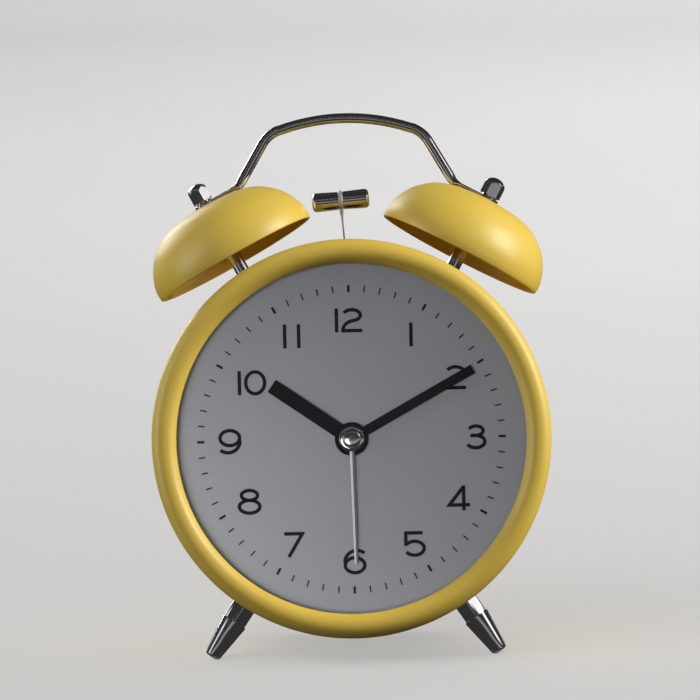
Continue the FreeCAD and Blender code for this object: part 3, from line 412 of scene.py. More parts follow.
materials = {
    "yellow_paint": paint("yellow_paint", (0.76, 0.535, 0.080), (0.73, 0.505, 0.072), 0.45),
    "chrome": polished("chrome", (0.72, 0.72, 0.74), 0.10, 0.17),
    "steel": brushed("steel", (0.76, 0.76, 0.78), 0.42, 0.7, (1.0, 8.0, 1.0)),
    "lens_glass": clear_glass("lens_glass"),
    "dial_grey": satin_sheet("dial_grey", (0.53, 0.532, 0.56), 0.29, 0.7),
    "ring_grey": moulded("ring_grey", (0.22, 0.225, 0.23), 0.55),
    "hand_black": paint("hand_black", (0.012, 0.014, 0.017), (0.009, 0.010, 0.012), 0.42),
    "brass": polished("brass", (0.70, 0.52, 0.22), 0.18, 0.30),
    "black_plastic": moulded("black_plastic", (0.045, 0.045, 0.048), 0.42),
    "white_plastic": moulded("white_plastic", (0.62, 0.62, 0.58), 0.42),
    "board_green": moulded("board_green", (0.02, 0.13, 0.045), 0.35),
    "copper": brushed("copper", (0.60, 0.24, 0.10), 0.30, 1.0, (40.0, 1.0, 1.0)),
    "iron": brushed("iron", (0.22, 0.22, 0.23), 0.45, 1.0, (1.0, 12.0, 1.0)),
    "battery_skin": moulded("battery_skin", (0.03, 0.05, 0.10), 0.30, 500.0),
}


def piece(obj, body, slot, *replaced):
    """Gives a piece its finish and its place in the model."""
    obj.data.materials.clear()
    obj.data.materials.append(materials[slot])
    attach(obj, body)
    if replaced:
        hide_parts(*replaced)


# ------------------------------------------------------------------ camera
CAMERA_DISTANCE = 1600.0
BELOW_NORMAL = math.radians(2.0)
AIM_UP = math.radians(0.962)
AIM_LEFT = math.radians(0.0165)
CAMERA_ROLL = math.radians(1.22)
SENSOR = 36.0
LENS = 273.0


def make_camera():
    """Long lens in front of the dial, a little below the dial's own axis."""
    local = Vector((0, -math.cos(BELOW_NORMAL), -math.sin(BELOW_NORMAL))) * CAMERA_DISTANCE * MM
    eye = upright @ local
    forward = (dial_centre - eye).normalized()
    right = Vector((1, 0, 0))
    up = right.cross(forward)
    level = Matrix((right, up, -forward)).transposed()
    seen = Vector((math.tan(AIM_LEFT), -math.tan(AIM_UP), -1.0)).normalized()
    swing = seen.rotation_difference(Vector((0, 0, -1))).to_matrix()
    turn = level @ Matrix.Rotation(-CAMERA_ROLL, 3, "Z") @ swing
    data = bpy.data.cameras.new("camera")
    data.lens = LENS
    data.sensor_width = SENSOR
    data.clip_end = 20.0
    camera = bpy.data.objects.new("camera", data)
    camera.matrix_world = Matrix.Translation(eye) @ turn.to_4x4()
    bpy.context.scene.collection.objects.link(camera)
    bpy.context.scene.camera = camera


# ------------------------------------------------------------------ case, bezel, dial
BEZEL_R = 60.0
BEZEL_INNER_R = 52.6
BEZEL_MID_Y = -7.5
BEZEL_LEDGE_Y = -6.6
BEZEL_SKIRT_Y = -1.0
BEZEL_PLAY = 0.05


def make_bezel():
    """Ring with a half-round front, a ledge over the lens and a skirt round the drum."""
    mid_r = (BEZEL_R + BEZEL_INNER_R) / 2
    half = (BEZEL_R - BEZEL_INNER_R) / 2
    skirt_r = DRUM_R + BEZEL_PLAY
    profile = arc(mid_r, BEZEL_MID_Y, half, half, 360, 180, 40)
    profile += [(BEZEL_INNER_R, BEZEL_LEDGE_Y - 0.15), (BEZEL_INNER_R + 0.15, BEZEL_LEDGE_Y)]
    profile += [(skirt_r, BEZEL_LEDGE_Y), (skirt_r, BEZEL_SKIRT_Y), (BEZEL_R - 0.35, BEZEL_SKIRT_Y)]
    profile += [(BEZEL_R - 0.1, BEZEL_SKIRT_Y - 0.1), (BEZEL_R, BEZEL_SKIRT_Y - 0.35)]
    piece(lathe("bezel_shell", profile, 256), "case", "yellow_paint", "front_bezel")


DRUM_WALL = 1.0
DRUM_EDGE = 0.4
SLOT_HALF_X = 4.1
SLOT_HALF_Y = 2.9
CUT_LOW_Z = 50.0
CUT_HIGH_Z = 62.0


def make_drum():
    """Short tube with a softened rear edge, and the slot that the hammer's stem passes through."""
    inner = DRUM_R - DRUM_WALL
    edge_y = DRUM_REAR - DRUM_EDGE
    profile = [(inner, DRUM_FRONT), (DRUM_R, DRUM_FRONT), (DRUM_R, edge_y)]
    profile += arc(DRUM_R - DRUM_EDGE, edge_y, DRUM_EDGE, DRUM_EDGE, 0, 90, 5)
    profile += [(inner, DRUM_REAR)]
    drum = lathe("drum_shell", profile, 256)
    opening = [(-SLOT_HALF_X, CUT_LOW_Z), (SLOT_HALF_X, CUT_LOW_Z), (SLOT_HALF_X, CUT_HIGH_Z),
               (-SLOT_HALF_X, CUT_HIGH_Z)]
    cutter = slab("slot_cutter", opening, TOP_Y - SLOT_HALF_Y, TOP_Y + SLOT_HALF_Y)
    mod = drum.modifiers.new("slot", "BOOLEAN")
    mod.object = cutter
    mod.operation = "DIFFERENCE"
    mod.solver = "EXACT"
    bpy.context.view_layer.update()
    result = bpy.data.meshes.new_from_object(drum.evaluated_get(bpy.context.evaluated_depsgraph_get()))
    drum.modifiers.clear()
    drum.data = result
    bpy.data.objects.remove(cutter)
    piece(drum, "case", "yellow_paint", "case_drum")


DIAL_R = 57.2
DIAL_HOLE_R = 4.05
SPACER_INNER_R = 53.2
SPACER_FRONT = -4.95
SPACER_REAR = -0.02


def make_dial():
    """Dial plate with a hole for the hands' pipes, and the grey ring that keeps the lens off it."""
    plate = [(DIAL_HOLE_R, 0.0), (DIAL_R, 0.0), (DIAL_R, DIAL_THICK), (DIAL_HOLE_R, DIAL_THICK)]
    piece(lathe("dial_face", plate), "case", "dial_grey", "dial_plate")
    ring = [(SPACER_INNER_R, SPACER_FRONT), (DIAL_R, SPACER_FRONT), (DIAL_R, SPACER_REAR),
            (SPACER_INNER_R, SPACER_REAR)]
    piece(lathe("spacer_ring", ring), "case", "ring_grey", "dial_spacer_ring")


INK_FRONT = -0.05
INK_BACK = -0.002


def ribbon(points, width, closed):
    """Left and right edges of a printed stroke along the points."""
    left = []
    right = []
    n = len(points)
    for i in range(n):
        p = Vector(points[i])
        a = Vector(points[i - 1]) if (i > 0 or closed) else p
        b = Vector(points[(i + 1) % n]) if (i < n - 1 or closed) else p
        d0 = (p - a).normalized() if (p - a).length > 1e-6 else (b - p).normalized()
        d1 = (b - p).normalized() if (b - p).length > 1e-6 else d0
        normal = Vector((-(d0.y + d1.y), d0.x + d1.x)).normalized()
        grow = 1.0 / max(normal.dot(Vector((-d1.y, d1.x))), 0.35)
        left.append(p + normal * (width / 2 * grow))
        right.append(p - normal * (width / 2 * grow))
    return left, right


def stroke_faces(points, width, closed, verts, faces):
    """Adds one raised stroke of ink to a mesh."""
    left, right = ribbon(points, width, closed)
    base = len(verts)
    n = len(points)
    for y in (INK_FRONT, INK_BACK):
        verts.extend((p.x, y, p.y) for p in left)
        verts.extend((p.x, y, p.y) for p in right)
    last = n if closed else n - 1
    for i in range(last):
        j = (i + 1) % n
        l0, l1, r0, r1 = base + i, base + j, base + n + i, base + n + j
        faces.append([l0, l1, r1, r0])
        faces.append([l0 + 2 * n, r0 + 2 * n, r1 + 2 * n, l1 + 2 * n])
        faces.append([l0, l0 + 2 * n, l1 + 2 * n, l1])
        faces.append([r0, r1, r1 + 2 * n, r0 + 2 * n])
    if not closed:
        for i in (0, n - 1):
            faces.append([base + i, base + n + i, base + 3 * n + i, base + 2 * n + i])


def loop(cx, cz, rx, rz, count):
    """Closed stroke round an ellipse."""
    return arc(cx, cz, rx, rz, 0, 360, count)[:-1], True


def line(points):
    """Open stroke along the points."""
    return points, False


def digit_paths():
    """Strokes of each figure about its own centre: (points, closed)."""
    two_neck = arc(0.05, 1.5, 2.6, 1.65, 155, -62, 26)
    two_sweep = arc(0.95, -3.05, 3.65, 2.95, 100, 180, 14)[1:]
    three_top = arc(0.1, 1.84, 2.2, 1.42, 158, -90, 24)
    three_belly = arc(0.0, -1.44, 2.75, 1.86, 88, -155, 26)
    five_belly = arc(0.0, -1.25, 2.88, 2.1, 143, -150, 26)
    six = [loop(0.07, -1.08, 2.95, 2.25, 48), line(arc(0.66, -0.2, 3.65, 3.54, 180, 50, 24))]
    nine = [([(-x, -z) for x, z in points], closed) for points, closed in six]
    return {
        "0": [loop(0, 0, 2.85, 3.3, 48)],
        "1": [line([(0, 3.62), (0, -3.62)])],
        "2": [line(two_neck + two_sweep), line([(-3.22, -3.15), (3.15, -3.15)])],
        "3": [line(three_top + [(-1.6, 0.42)]), line([(-0.4, 0.42)] + three_belly)],
        "4": [line([(3.5, -2.1), (-2.75, -2.1), (1.5, 3.3)]), line([(1.6, 3.75), (1.6, -3.75)])],
        "5": [line([(2.5, 3.37), (-2.6, 3.37), (-2.6, 0.0)] + five_belly)],
        "6": six,
        "7": [line([(-3.0, 3.26), (2.5, 3.26), (-1.7, -3.75)])],
        "8": [loop(0, 1.9, 2.43, 1.48, 40), loop(0, -1.52, 3.1, 1.92, 44)],
        "9": nine,
    }


NUMBER_CENTRES = {
    "12": (-0.2, 35.9), "1": (18.6, 31.2), "2": (31.7, 18.0), "3": (37.4, -0.1), "4": (31.8, -18.4),
    "5": (18.3, -32.0), "6": (0.2, -36.9), "7": (-17.9, -31.4), "8": (-31.1, -18.2), "9": (-36.6, 0.0),
    "10": (-29.7, 17.6), "11": (-17.4, 31.4)}
PAIR_OFFSETS = {"12": (-3.6, 1.0), "10": (-3.75, 1.0), "11": (-2.1, 2.1)}
STROKE = 1.06
TICK_R = 45.43
HOUR_TICK = {"half": 1.1, "width": 0.74}
MINUTE_TICK = {"half": 1.03, "width": 0.42}


def make_print():
    """Numerals and minute marks, as ink standing a hair proud of the dial."""
    figures = digit_paths()
    for number, (cx, cz) in NUMBER_CENTRES.items():
        verts = []
        faces = []
        offsets = PAIR_OFFSETS.get(number, (0.0,))
        for figure, offset in zip(number, offsets):
            for points, closed in figures[figure]:
                moved = [(cx + offset + x, cz + z) for x, z in points]
                stroke_faces(moved, STROKE, closed, verts, faces)
        piece(make_object("numeral_" + number, verts, faces), "case", "hand_black")
    verts = []
    faces = []
    for i in range(60):
        tick = HOUR_TICK if i % 5 == 0 else MINUTE_TICK
        a = math.radians(6 * i)
        radii = (TICK_R - tick["half"], TICK_R + tick["half"])
        ends = [(r * math.sin(a), r * math.cos(a)) for r in radii]
        stroke_faces(ends, tick["width"], False, verts, faces)
    piece(make_object("minute_marks", verts, faces), "case", "hand_black")


# ------------------------------------------------------------------ hands
def turned_on_dial(angle):
    """Rotation clockwise on the dial."""
    return Matrix.Rotation(angle, 4, "Y")


HOUR_ANGLE = math.radians(304.8)
MINUTE_ANGLE = math.radians(61.2)
SECOND_ANGLE = math.radians(178.9)
BLADE_BACK = -2.95
BLADE_LENGTH = 37.6
BLADE_ROOT_HALF = 0.72
BLADE_TIP_HALF = 0.575


def bar_hand(name, length, width, boss_r, front, back, angle):
    """Straight stamped hand with a round boss, one outline."""
    half = width / 2
    neck = math.degrees(math.asin(half / boss_r))
    outline = arc(0, 0, boss_r, boss_r, 90 + neck, 450 - neck, 64)
    outline += [(half, length), (-half, length)]
    return slab(name, outline, front, back, turned_on_dial(angle), bevel=0.07)


def second_blade():
    """Slim tapering blade with a ridge along its front."""
    section = [(-1, BLADE_BACK), (1, BLADE_BACK), (1, -3.08), (0, -3.38), (-1, -3.08)]
    stations = [(1.0, BLADE_ROOT_HALF), (BLADE_LENGTH - 0.4, BLADE_TIP_HALF),
                (BLADE_LENGTH, BLADE_TIP_HALF * 0.8)]
    verts = []
    for z, half in stations:
        verts += [(x * half, y, z) for x, y in section]
    n = len(section)
    faces = [[0, 4, 3, 2, 1], [10, 11, 12, 13, 14]]
    for row in (0, n):
        for k in range(n):
            m = (k + 1) % n
            faces.append([row + k, row + m, row + n + m, row + n + k])
    return make_object("second_hand_blade", verts, faces, turned_on_dial(SECOND_ANGLE), 10.0)


def make_hands():
    """The four hands, one over another, and the polished cap over the second hand's boss."""
    alarm = bar_hand("alarm_hand_blade", length=29.0, width=1.0, boss_r=3.6, front=-1.0, back=-0.7,
                     angle=SECOND_ANGLE)
    piece(alarm, "alarm_arbor", "hand_black", "alarm_hand")
    hour = bar_hand("hour_hand_blade", length=28.9, width=4.4, boss_r=5.05, front=-1.8, back=-1.4,
                    angle=HOUR_ANGLE)
    piece(hour, "hour_arbor", "hand_black", "hour_hand")
    minute = bar_hand("minute_hand_blade", length=42.2, width=2.9, boss_r=4.5, front=-2.6, back=-2.2,
                      angle=MINUTE_ANGLE)
    piece(minute, "minute_arbor", "hand_black", "minute_hand")
    piece(second_blade(), "second_arbor", "steel", "second_hand")
    disc = [(0, BLADE_BACK), (3.0, BLADE_BACK), (3.0, -3.3), (0, -3.3)]
    piece(lathe("second_hand_boss", disc, 64), "second_arbor", "chrome")
    dome = [(0, -3.42), (3.55, -3.42)] + arc(3.6, -3.62, 0.2, 0.2, 90, -60, 6)
    dome += [(2.95, -3.86), (2.72, -3.9), (2.62, -4.0), (2.55, -4.12), (2.3, -4.27), (1.8, -4.38)]
    dome += [(1.0, -4.43), (0, -4.44)]
    piece(lathe("second_cap_dome", dome, 96, smooth=50), "second_arbor", "chrome", "second_hand_cap")


# ------------------------------------------------------------------ bells, handle, feet
def mirror_x(obj, name):
    """The same shape on the other side of the clock."""
    mesh = obj.data.copy()
    mesh.transform(upright.inverted() @ obj.matrix_world)
    mesh.transform(Matrix.Scale(-1, 4, Vector((1, 0, 0))))
    mesh.flip_normals()
    twin = bpy.data.objects.new(name, mesh)
    bpy.context.scene.collection.objects.link(twin)
    twin.matrix_world = upright
    return twin


def smooth_curve(points, per_span):
    """Catmull-Rom curve through the points."""
    out = []
    n = len(points)
    for i in range(n - 1):
        p0 = Vector(points[max(i - 1, 0)])
        p1 = Vector(points[i])
        p2 = Vector(points[i + 1])
        p3 = Vector(points[min(i + 2, n - 1)])
        for k in range(per_span):
            t = k / per_span
            q = 0.5 * ((2 * p1) + (p2 - p0) * t + (2 * p0 - 5 * p1 + 4 * p2 - p3) * t * t
                       + (3 * p1 - p0 - 3 * p2 + p3) * t ** 3)
            out.append(tuple(q))
    out.append(tuple(points[-1]))
    return out


def offset_inward(points, gap):
    """The same curve moved inwards by the wall's thickness."""
    out = []
    n = len(points)
    for i, (r, h) in enumerate(points):
        r0, h0 = points[max(i - 1, 0)]
        r1, h1 = points[min(i + 1, n - 1)]
        length = math.hypot(r1 - r0, h1 - h0)
        out.append((r - (h1 - h0) / length * gap, h + (r1 - r0) / length * gap))
    return out


BELL_CURVE = [(25.95, 0.0), (26.15, 2.0), (25.75, 4.9), (24.5, 8.1), (22.5, 11.3), (19.9, 13.9),
              (16.8, 16.1), (12.9, 17.6), (8.3, 18.4), (4.6, 18.7), (1.5, 18.7)]
BELL_WALL = 1.0
LIP_EDGE = 0.15
POST_R = 2.15
POST_THREAD_R = 1.45
POST_FOOT_H = -15.2
NUT_TURN = {"right": math.radians(8), "left": math.radians(-22)}


def make_bells():
    """Two thin domes on posts, each held down by a cap nut over the handle's eye."""
    direction = Vector((math.sin(BELL_TILT), 0, math.cos(BELL_TILT)))
    place = axis_place(BELL_RIM, direction)
    outer = smooth_curve(BELL_CURVE, 6)
    inner = offset_inward(outer, BELL_WALL)
    rim_r = outer[0][0]
    rim_inner_r = rim_r - BELL_WALL
    profile = [(rim_inner_r + LIP_EDGE, 0.0), (rim_r - LIP_EDGE, 0.0), (rim_r, LIP_EDGE)]
    profile += outer[1:] + inner[:0:-1] + [(rim_inner_r, LIP_EDGE)]
    bell = lathe("bell_right_shell", profile, 192, place, 40, about="Z")
    piece(bell, "case", "yellow_paint", "right_bell")
    piece(mirror_x(bell, "bell_left_shell"), "case", "yellow_paint", "left_bell")

    crown_h = BELL_H - BELL_WALL
    end_h = BELL_H + 4.5
    shank = [(0, POST_FOOT_H), (POST_THREAD_R, POST_FOOT_H), (POST_THREAD_R, -8.6), (POST_R, -8.2),
             (POST_R, crown_h), (POST_THREAD_R, crown_h), (POST_THREAD_R, end_h), (0, end_h)]
    post = lathe("post_right_shank", shank, 48, place, about="Z")
    piece(post, "case", "chrome", "right_bell_post")
    piece(mirror_x(post, "post_left_shank"), "case", "chrome", "left_bell_post")

    top = BELL_RIM + direction * (BELL_H + TAB_THICK)
    for label, sign in (("right", 1), ("left", -1)):
        tilt = Vector((sign * direction.x, 0, direction.z))
        seat = (sign * top.x, top.y, top.z)
        nut = cap_nut("nut_" + label + "_dome", axis_place(seat, tilt, NUT_TURN[label]))
        piece(nut, "case", "chrome", label + "_bell_nut")


def hex_radius(angle, across_flats):
    """Radius of a hexagon's side at an angle; a corner lies at angle 0."""
    within = (angle % (math.pi / 3)) - math.pi / 6
    return across_flats / 2 / math.cos(within)


NUT_AF = 5.65
NUT_ROWS = [(0.0, 2.3), (0.45, 2.35), (0.5, 2.9), (0.75, 3.3), (4.1, 3.3), (4.6, 3.12), (5.1, 2.82),
            (5.5, 2.45), (5.85, 1.98), (6.1, 1.48), (6.3, 0.85), (6.4, 0.05)]


def cap_nut(name, place):
    """Tall hexagon that rounds over into a dome, on a narrow neck."""
    def radius(angle, height):
        return min(height_to_radius(NUT_ROWS, height), hex_radius(angle, NUT_AF))

    between = [0.62, 2.0, 3.4, 3.9, 4.35, 4.85, 5.3, 5.7, 6.0, 6.2, 6.36]
    heights = sorted([h for h, _ in NUT_ROWS] + between)
    return polar_solid(name, radius, heights, place, 28)


HANDLE_TOP_Z = 98.65
HANDLE_SHOULDER = (23.8, 93.85)
HANDLE_KNEE = (32.45, 78.9)
SHOULDER_BEND = 10.0
KNEE_BEND = 2.6
WIRE_R = 1.53
EYE_HALF_WIDTH = 2.9
EYE_HOLE_R = 1.5
EYE_R = 3.25
PATH_STEP = 0.8


def bend(corner, come, leave, radius):
    """Round bend at a corner between two directions, and how far back from the corner it starts."""
    back = radius * math.tan(come.angle(leave) / 2)
    return corner_curve(corner - come * back, corner, corner + leave * back, 12), back


def divided(path, step):
    """The path with extra points on its longer runs."""
    dense = []
    for a, b in zip(path, path[1:]):
        steps = max(1, int((Vector(b) - Vector(a)).length / step))
        for k in range(steps):
            t = k / steps
            dense.append((a[0] + (b[0] - a[0]) * t, a[1] + (b[1] - a[1]) * t))
    dense.append(path[-1])
    return dense


def make_handle():
    """Wire bent into an arch, shoulders and knees, and flattened at each end round the bell's post."""
    direction = Vector((math.sin(BELL_TILT), math.cos(BELL_TILT)))
    eye = Vector((BELL_RIM.x, BELL_RIM.z)) + direction * (BELL_H + TAB_THICK / 2)
    shoulder = Vector(HANDLE_SHOULDER)
    sag = HANDLE_TOP_Z - shoulder.y
    arch_r = (shoulder.x ** 2 + sag ** 2) / (2 * sag)
    half = math.asin(shoulder.x / arch_r)
    leg = (Vector(HANDLE_KNEE) - shoulder).normalized()
    over = (Vector(HANDLE_KNEE) - eye).dot(direction)
    knee = Vector(HANDLE_KNEE) - leg * (over / leg.dot(direction))
    tab = Vector((direction.y, -direction.x))
    top_bend, cut_back = bend(shoulder, Vector((math.cos(half), -math.sin(half))), leg, SHOULDER_BEND)
    low_bend, _ = bend(knee, leg, tab, KNEE_BEND)
    reach = math.degrees(half - cut_back / arch_r)
    right = arc(0, HANDLE_TOP_Z - arch_r, arch_r, arch_r, 90, 90 - reach, 24)[:-1] + top_bend + low_bend
    right.append(tuple(eye - tab * 2.0))
    path = divided([(-x, z) for x, z in reversed(right[1:])] + right, PATH_STEP)
    flat = TAB_THICK / 2
    sizes = []
    for x, z in path:
        offset = (Vector((abs(x), z)) - knee).dot(tab)
        share = min(max((offset + 1.0) / 4.0, 0.0), 1.0)
        share = share * share * (3 - 2 * share)
        sizes.append((WIRE_R + (flat - WIRE_R) * share, WIRE_R + (EYE_HALF_WIDTH - WIRE_R) * share))
    piece(sweep("handle_wire", path, sizes), "case", "chrome", "handle")
    ring = rounded([(EYE_HOLE_R, -flat), (EYE_R, -flat), (EYE_R, flat), (EYE_HOLE_R, flat)], 0.3)
    for label, sign in (("right", 1), ("left", -1)):
        place = axis_place((sign * eye.x, TOP_Y, eye.y), Vector((sign * direction.x, 0, direction.y)))
        piece(lathe("handle_eye_" + label, ring, 64, place, about="Z"), "case", "chrome")


FOOT_ANGLE = math.radians(34.0)
FOOT_Y = 6.0
FOOT_START = DRUM_R - 2.0
FOOT_HEX_AF = 7.1
FOOT_HEX_END = 65.3
FOOT_END = 78.0
FOOT_TIP_R = 2.45


def make_feet():
    """Two splayed legs: a hexagon under the drum, then a taper to a round end cut level with the table."""
    corner = FOOT_HEX_AF / 2 / math.cos(math.pi / 6)
    floor_z = cad_box[0][2]
    collar = [(FOOT_START, corner - 0.1), (FOOT_HEX_END - 0.35, corner - 0.1),
              (FOOT_HEX_END, corner - 0.45)]
    taper = [(FOOT_HEX_END + 0.01, corner - 0.12), (FOOT_HEX_END + 0.5, corner - 0.14),
             (FOOT_END - 1.1, FOOT_TIP_R + 0.02), (FOOT_END - 0.6, FOOT_TIP_R - 0.1),
             (FOOT_END - 0.25, FOOT_TIP_R - 0.4), (FOOT_END - 0.05, FOOT_TIP_R - 0.85), (FOOT_END, 0.02)]

    def radius(angle, height):
        if height <= FOOT_HEX_END:
            flats = hex_radius(angle + math.pi / 2, FOOT_HEX_AF)
            return min(height_to_radius(collar, height), flats)
        return height_to_radius(taper, height)

    heights = sorted([h for h, _ in collar + taper] + [DRUM_R + 2, 70.0, 74.0])
    for label, sign in (("right", 1), ("left", -1)):
        direction = Vector((sign * math.sin(FOOT_ANGLE), 0, -math.cos(FOOT_ANGLE)))
        place = axis_place((0, FOOT_Y, 0), direction)
        foot = polar_solid("foot_" + label + "_leg", radius, heights, place, 25)
        matrix = foot.matrix_world.copy()
        foot.data.transform(matrix)
        foot.matrix_world = Matrix.Identity(4)
        for vertex in foot.data.vertices:
            vertex.co.z = max(vertex.co.z, floor_z)
        foot.data.transform(matrix.inverted())
        foot.matrix_world = matrix
        piece(foot, "case", "chrome", label + "_foot")


# ------------------------------------------------------------------ hammer
PIVOT_Z = 49.6
HAMMER_REST = math.radians(-4.3)
HAMMER_ARM = 23.9
BARREL_HALF = [(2.35, 0.7), (2.68, 0.72), (2.72, 1.0), (2.76, 2.4), (2.86, 5.0), (2.9, 6.8), (2.88, 7.6),
               (2.74, 8.05), (2.5, 8.35), (2.15, 8.55), (1.7, 8.66), (0.0, 8.7)]
STEM_HALF_WIDTH = 1.4
BAND_INNER_R = 2.4
BAND_R = 3.05
BAND_HALF = 0.6


def make_hammer():
    """Barrel-shaped head with a groove round its middle, held by the band at the top of a spring stem."""
    lean = shift(0, 0, PIVOT_Z) @ Matrix.Rotation(HAMMER_REST, 4, "Y")
    middle = lean @ shift(0, TOP_Y, HAMMER_ARM)
    profile = [(r, -x) for r, x in reversed(BARREL_HALF)] + BARREL_HALF
    head = lathe("hammer_barrel", profile, 72, middle, 35, closed=False, about="X")
    piece(head, "hammer", "chrome", "hammer_head")
    z = HAMMER_ARM
    edge = [(0.25, 2.4), (0.25, z - 7.6), (0.3, z - 5.8), (0.42, z - 4.6), (0.6, z - 3.4), (0.64, z - 2.5)]
    outline = [(-x, h) for x, h in edge] + edge[::-1]
    front, back = TOP_Y - STEM_HALF_WIDTH, TOP_Y + STEM_HALF_WIDTH
    stem = slab("hammer_stem_blade", outline, front, back, lean, bevel=0.06)
    piece(stem, "hammer", "steel", "hammer_stem")
    section = [(BAND_INNER_R, -BAND_HALF), (BAND_R, -BAND_HALF), (BAND_R, BAND_HALF),
               (BAND_INNER_R, BAND_HALF)]
    band = lathe("hammer_stem_band", rounded(section, 0.15), 64, middle, about="X")
    piece(band, "hammer", "steel")


# ------------------------------------------------------------------ carried-over parts and surroundings
def finish_nodes():
    """Every part of the model that stays gets its own finish."""
    slots = {entry["node"]: entry["material_slot"] for entry in frame["record"]["subparts"]}
    for name, obj in nodes.items():
        obj.data.materials.clear()
        obj.data.materials.append(materials[slots[name]])


def area_light(name, location, aim, size, power, color=(1, 1, 1)):
    """Rectangular lamp that faces a point."""
    data = bpy.data.lights.new(name, "AREA")
    data.shape = "RECTANGLE"
    data.size, data.size_y = size
    data.energy = power
    data.color = color
    lamp = bpy.data.objects.new(name, data)
    lamp.location = location
    lamp.rotation_euler = (Vector(aim) - Vector(location)).to_track_quat("-Z", "Y").to_euler()
    bpy.context.scene.collection.objects.link(lamp)
    return lamp


def light_rule(lamp, targets, state):
    """Lights only the targets (INCLUDE) or everything but the targets (EXCLUDE)."""
    group = bpy.data.collections.new(lamp.name + "_receivers")
    for target in targets:
        group.objects.link(target)
    for entry in group.collection_objects:
        entry.light_linking.link_state = state
    lamp.light_linking.receiver_collection = group


def stage_shadows_only(lamp, stage):
    """Only the stage casts this lamp's shadows."""
    group = bpy.data.collections.new(lamp.name + "_blockers")
    group.objects.link(stage)
    lamp.light_linking.blocker_collection = group


STAGE_HALF_WIDTH = 5.0
STAGE_FRONT_Y = -5.0
STAGE_BEND_Y = 2.6
STAGE_BEND_R = 0.6
WALL_HEIGHT = 3.0


def make_stage():
    """Wide pale floor, in metres, that curves up into a backdrop far behind."""
    path = [(STAGE_FRONT_Y, 0.0), (STAGE_BEND_Y, 0.0)]
    path += arc(STAGE_BEND_Y, STAGE_BEND_R, STAGE_BEND_R, STAGE_BEND_R, -90, 0, 18)[1:]
    path.append((STAGE_BEND_Y + STAGE_BEND_R, WALL_HEIGHT))
    verts = []
    faces = []
    for x in (-STAGE_HALF_WIDTH, STAGE_HALF_WIDTH):
        verts += [(x, y, z) for y, z in path]
    n = len(path)
    for k in range(n - 1):
        faces.append([k, k + 1, n + k + 1, n + k])
    mesh = bpy.data.meshes.new("backdrop")
    mesh.from_pydata(verts, [], faces)
    mesh.shade_smooth()
    floor = bpy.data.objects.new("backdrop", mesh)
    floor.location.z = cad_box[0][2]
    bpy.context.scene.collection.objects.link(floor)
    mat, shader = new_material("backdrop", (0.82, 0.815, 0.81), 0.9)
    cloud = noise(mat, coords(mat), 1.5)
    greys = [(0.3, (0.81, 0.805, 0.80)), (0.7, (0.84, 0.835, 0.83))]
    link(mat, ramp(mat, cloud, greys), shader, "Base Color")
    mesh.materials.append(mat)
    floor.visible_glossy = False
    floor.visible_diffuse = False


def room_ramp(tree, upward_part, stops):
    """Brightness of the room from straight down, 0, to straight up, 1."""
    remap = tree.nodes.new("ShaderNodeMapRange")
    remap.inputs["From Min"].default_value = -1.0
    remap.inputs["From Max"].default_value = 1.0
    tree.links.new(upward_part, remap.inputs["Value"])
    gradient = tree.nodes.new("ShaderNodeValToRGB")
    while len(gradient.color_ramp.elements) < len(stops):
        gradient.color_ramp.elements.new(0.5)
    for element, (position, value) in zip(gradient.color_ramp.elements, stops):
        element.position = position
        element.color = (value, value, value * 1.01, 1)
    tree.links.new(remap.outputs["Result"], gradient.inputs["Fac"])
    return gradient.outputs["Color"]


SOFT_ROOM = [(0.0, 0.12), (0.46, 0.16), (0.56, 0.5), (1.0, 0.45)]
SHINY_ROOM = [(0.0, 0.22), (0.14, 0.04), (0.485, 0.04), (0.51, 0.40), (0.55, 0.40), (0.60, 0.04),
              (1.0, 0.03)]
SOFT_STRENGTH = 0.32
PALE_GREY = (0.66, 0.655, 0.65, 1.0)


def make_room():
    """Pale grey world that fills shadows softly.

    Polished parts reflect it as a dark room with a pale band at eye level and a grey floor.
    """
    world = bpy.data.worlds.new("studio")
    bpy.context.scene.world = world
    world.use_nodes = True
    tree = world.node_tree
    soft = tree.nodes["Background"]
    shiny = tree.nodes.new("ShaderNodeBackground")
    pale = tree.nodes.new("ShaderNodeBackground")
    lit = tree.nodes.new("ShaderNodeMixShader")
    seen = tree.nodes.new("ShaderNodeMixShader")
    ray = tree.nodes.new("ShaderNodeLightPath")
    source = tree.nodes.new("ShaderNodeTexCoord")
    split = tree.nodes.new("ShaderNodeSeparateXYZ")
    tree.links.new(source.outputs["Generated"], split.inputs["Vector"])
    tree.links.new(room_ramp(tree, split.outputs["Z"], SOFT_ROOM), soft.inputs["Color"])
    tree.links.new(room_ramp(tree, split.outputs["Z"], SHINY_ROOM), shiny.inputs["Color"])
    soft.inputs["Strength"].default_value = SOFT_STRENGTH
    shiny.inputs["Strength"].default_value = 1.0
    pale.inputs["Color"].default_value = PALE_GREY
    tree.links.new(ray.outputs["Is Glossy Ray"], lit.inputs["Fac"])
    tree.links.new(soft.outputs["Background"], lit.inputs[1])
    tree.links.new(shiny.outputs["Background"], lit.inputs[2])
    tree.links.new(ray.outputs["Is Camera Ray"], seen.inputs["Fac"])
    tree.links.new(lit.outputs["Shader"], seen.inputs[1])
    tree.links.new(pale.outputs["Background"], seen.inputs[2])
    tree.links.new(seen.outputs["Shader"], tree.nodes["World Output"].inputs["Surface"])


CLOCK_MIDDLE = (0, 0, 0.08)
WARM = (1.0, 0.99, 0.96)
COOL = (0.96, 0.98, 1.0)
CARD_WHITE = (0.95, 0.975, 1.0)


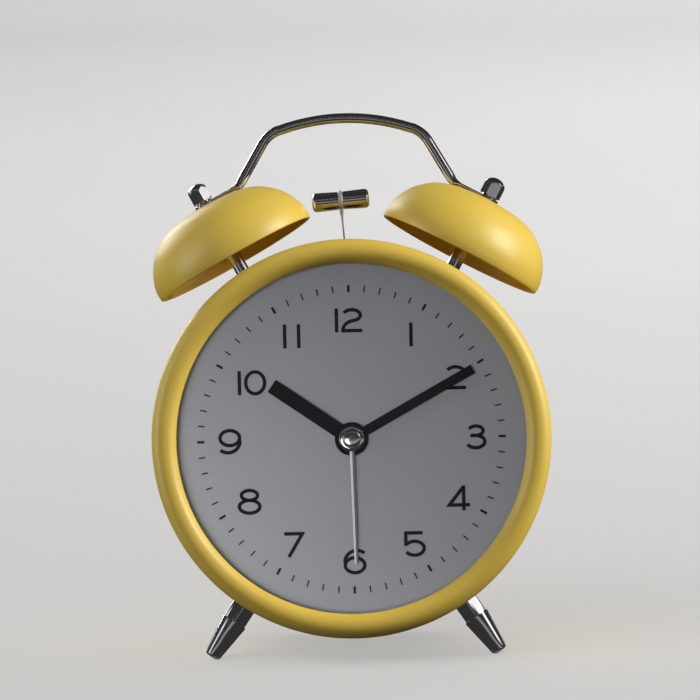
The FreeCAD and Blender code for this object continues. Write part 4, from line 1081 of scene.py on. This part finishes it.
def make_lights():
    """Soft key from the upper right and a weaker fill from the left, with cards for the shiny parts.

    The key and fill would burn out the plated pieces, so weak gleams light those instead. The card is
    the pale sheen on the dial and the second hand. The sky and the wash light only the stage.
    """
    backdrop = bpy.data.objects["backdrop"]
    satin = [bpy.data.objects[name] for name in ("dial_face", "second_hand_blade")]
    cap = bpy.data.objects["second_cap_dome"]
    meshes = [obj for obj in bpy.data.objects if obj.type == "MESH"]
    plated = [obj for obj in meshes if materials["chrome"].name in obj.data.materials]
    key = area_light("key", (1.08, -0.25, 0.70), CLOCK_MIDDLE, (0.45, 0.55), 19.0, WARM)
    fill = area_light("fill", (-0.88, -0.30, 0.24), CLOCK_MIDDLE, (0.40, 0.8), 4.8, COOL)
    back = area_light("back", (-0.75, 1.15, 0.55), CLOCK_MIDDLE, (0.6, 0.6), 9.0, WARM)
    card = area_light("card", (-0.43, -1.62, 0.15), (-0.02, 0, 0.065), (0.60, 0.5), 3.5, CARD_WHITE)
    gleam_right = area_light("gleam_right", (1.06, -0.36, 0.66), CLOCK_MIDDLE, (0.45, 0.55), 1.3, WARM)
    gleam_left = area_light("gleam_left", (-0.9, -0.30, 0.02), CLOCK_MIDDLE, (0.30, 0.9), 0.9, COOL)
    area_light("strip", (0.0, -0.93, 0.82), (0, 0, 0.12), (1.6, 0.030), 0.15)
    sky = area_light("sky", (1.5, 1.7, 2.6), (1.1, 1.8, 0.0), (3.0, 3.0), 100.0)
    wash = area_light("wash", (-3.0, -2.4, 2.8), (-3.0, -2.4, 0.0), (4.0, 4.0), 48.0)
    light_rule(key, [backdrop] + plated + satin, "EXCLUDE")
    light_rule(fill, [backdrop] + plated, "EXCLUDE")
    light_rule(back, [backdrop], "EXCLUDE")
    light_rule(card, satin + [cap], "INCLUDE")
    for gleam in (gleam_right, gleam_left):
        light_rule(gleam, plated, "INCLUDE")
    for lamp in (sky, wash):
        light_rule(lamp, [backdrop], "INCLUDE")
        stage_shadows_only(lamp, backdrop)


make_camera()
finish_nodes()
make_bezel()
make_drum()
make_dial()
make_print()
make_hands()
make_bells()
make_handle()
make_feet()
make_hammer()
make_stage()
make_lights()
make_room()
bpy.context.scene.view_settings.view_transform = "Standard"
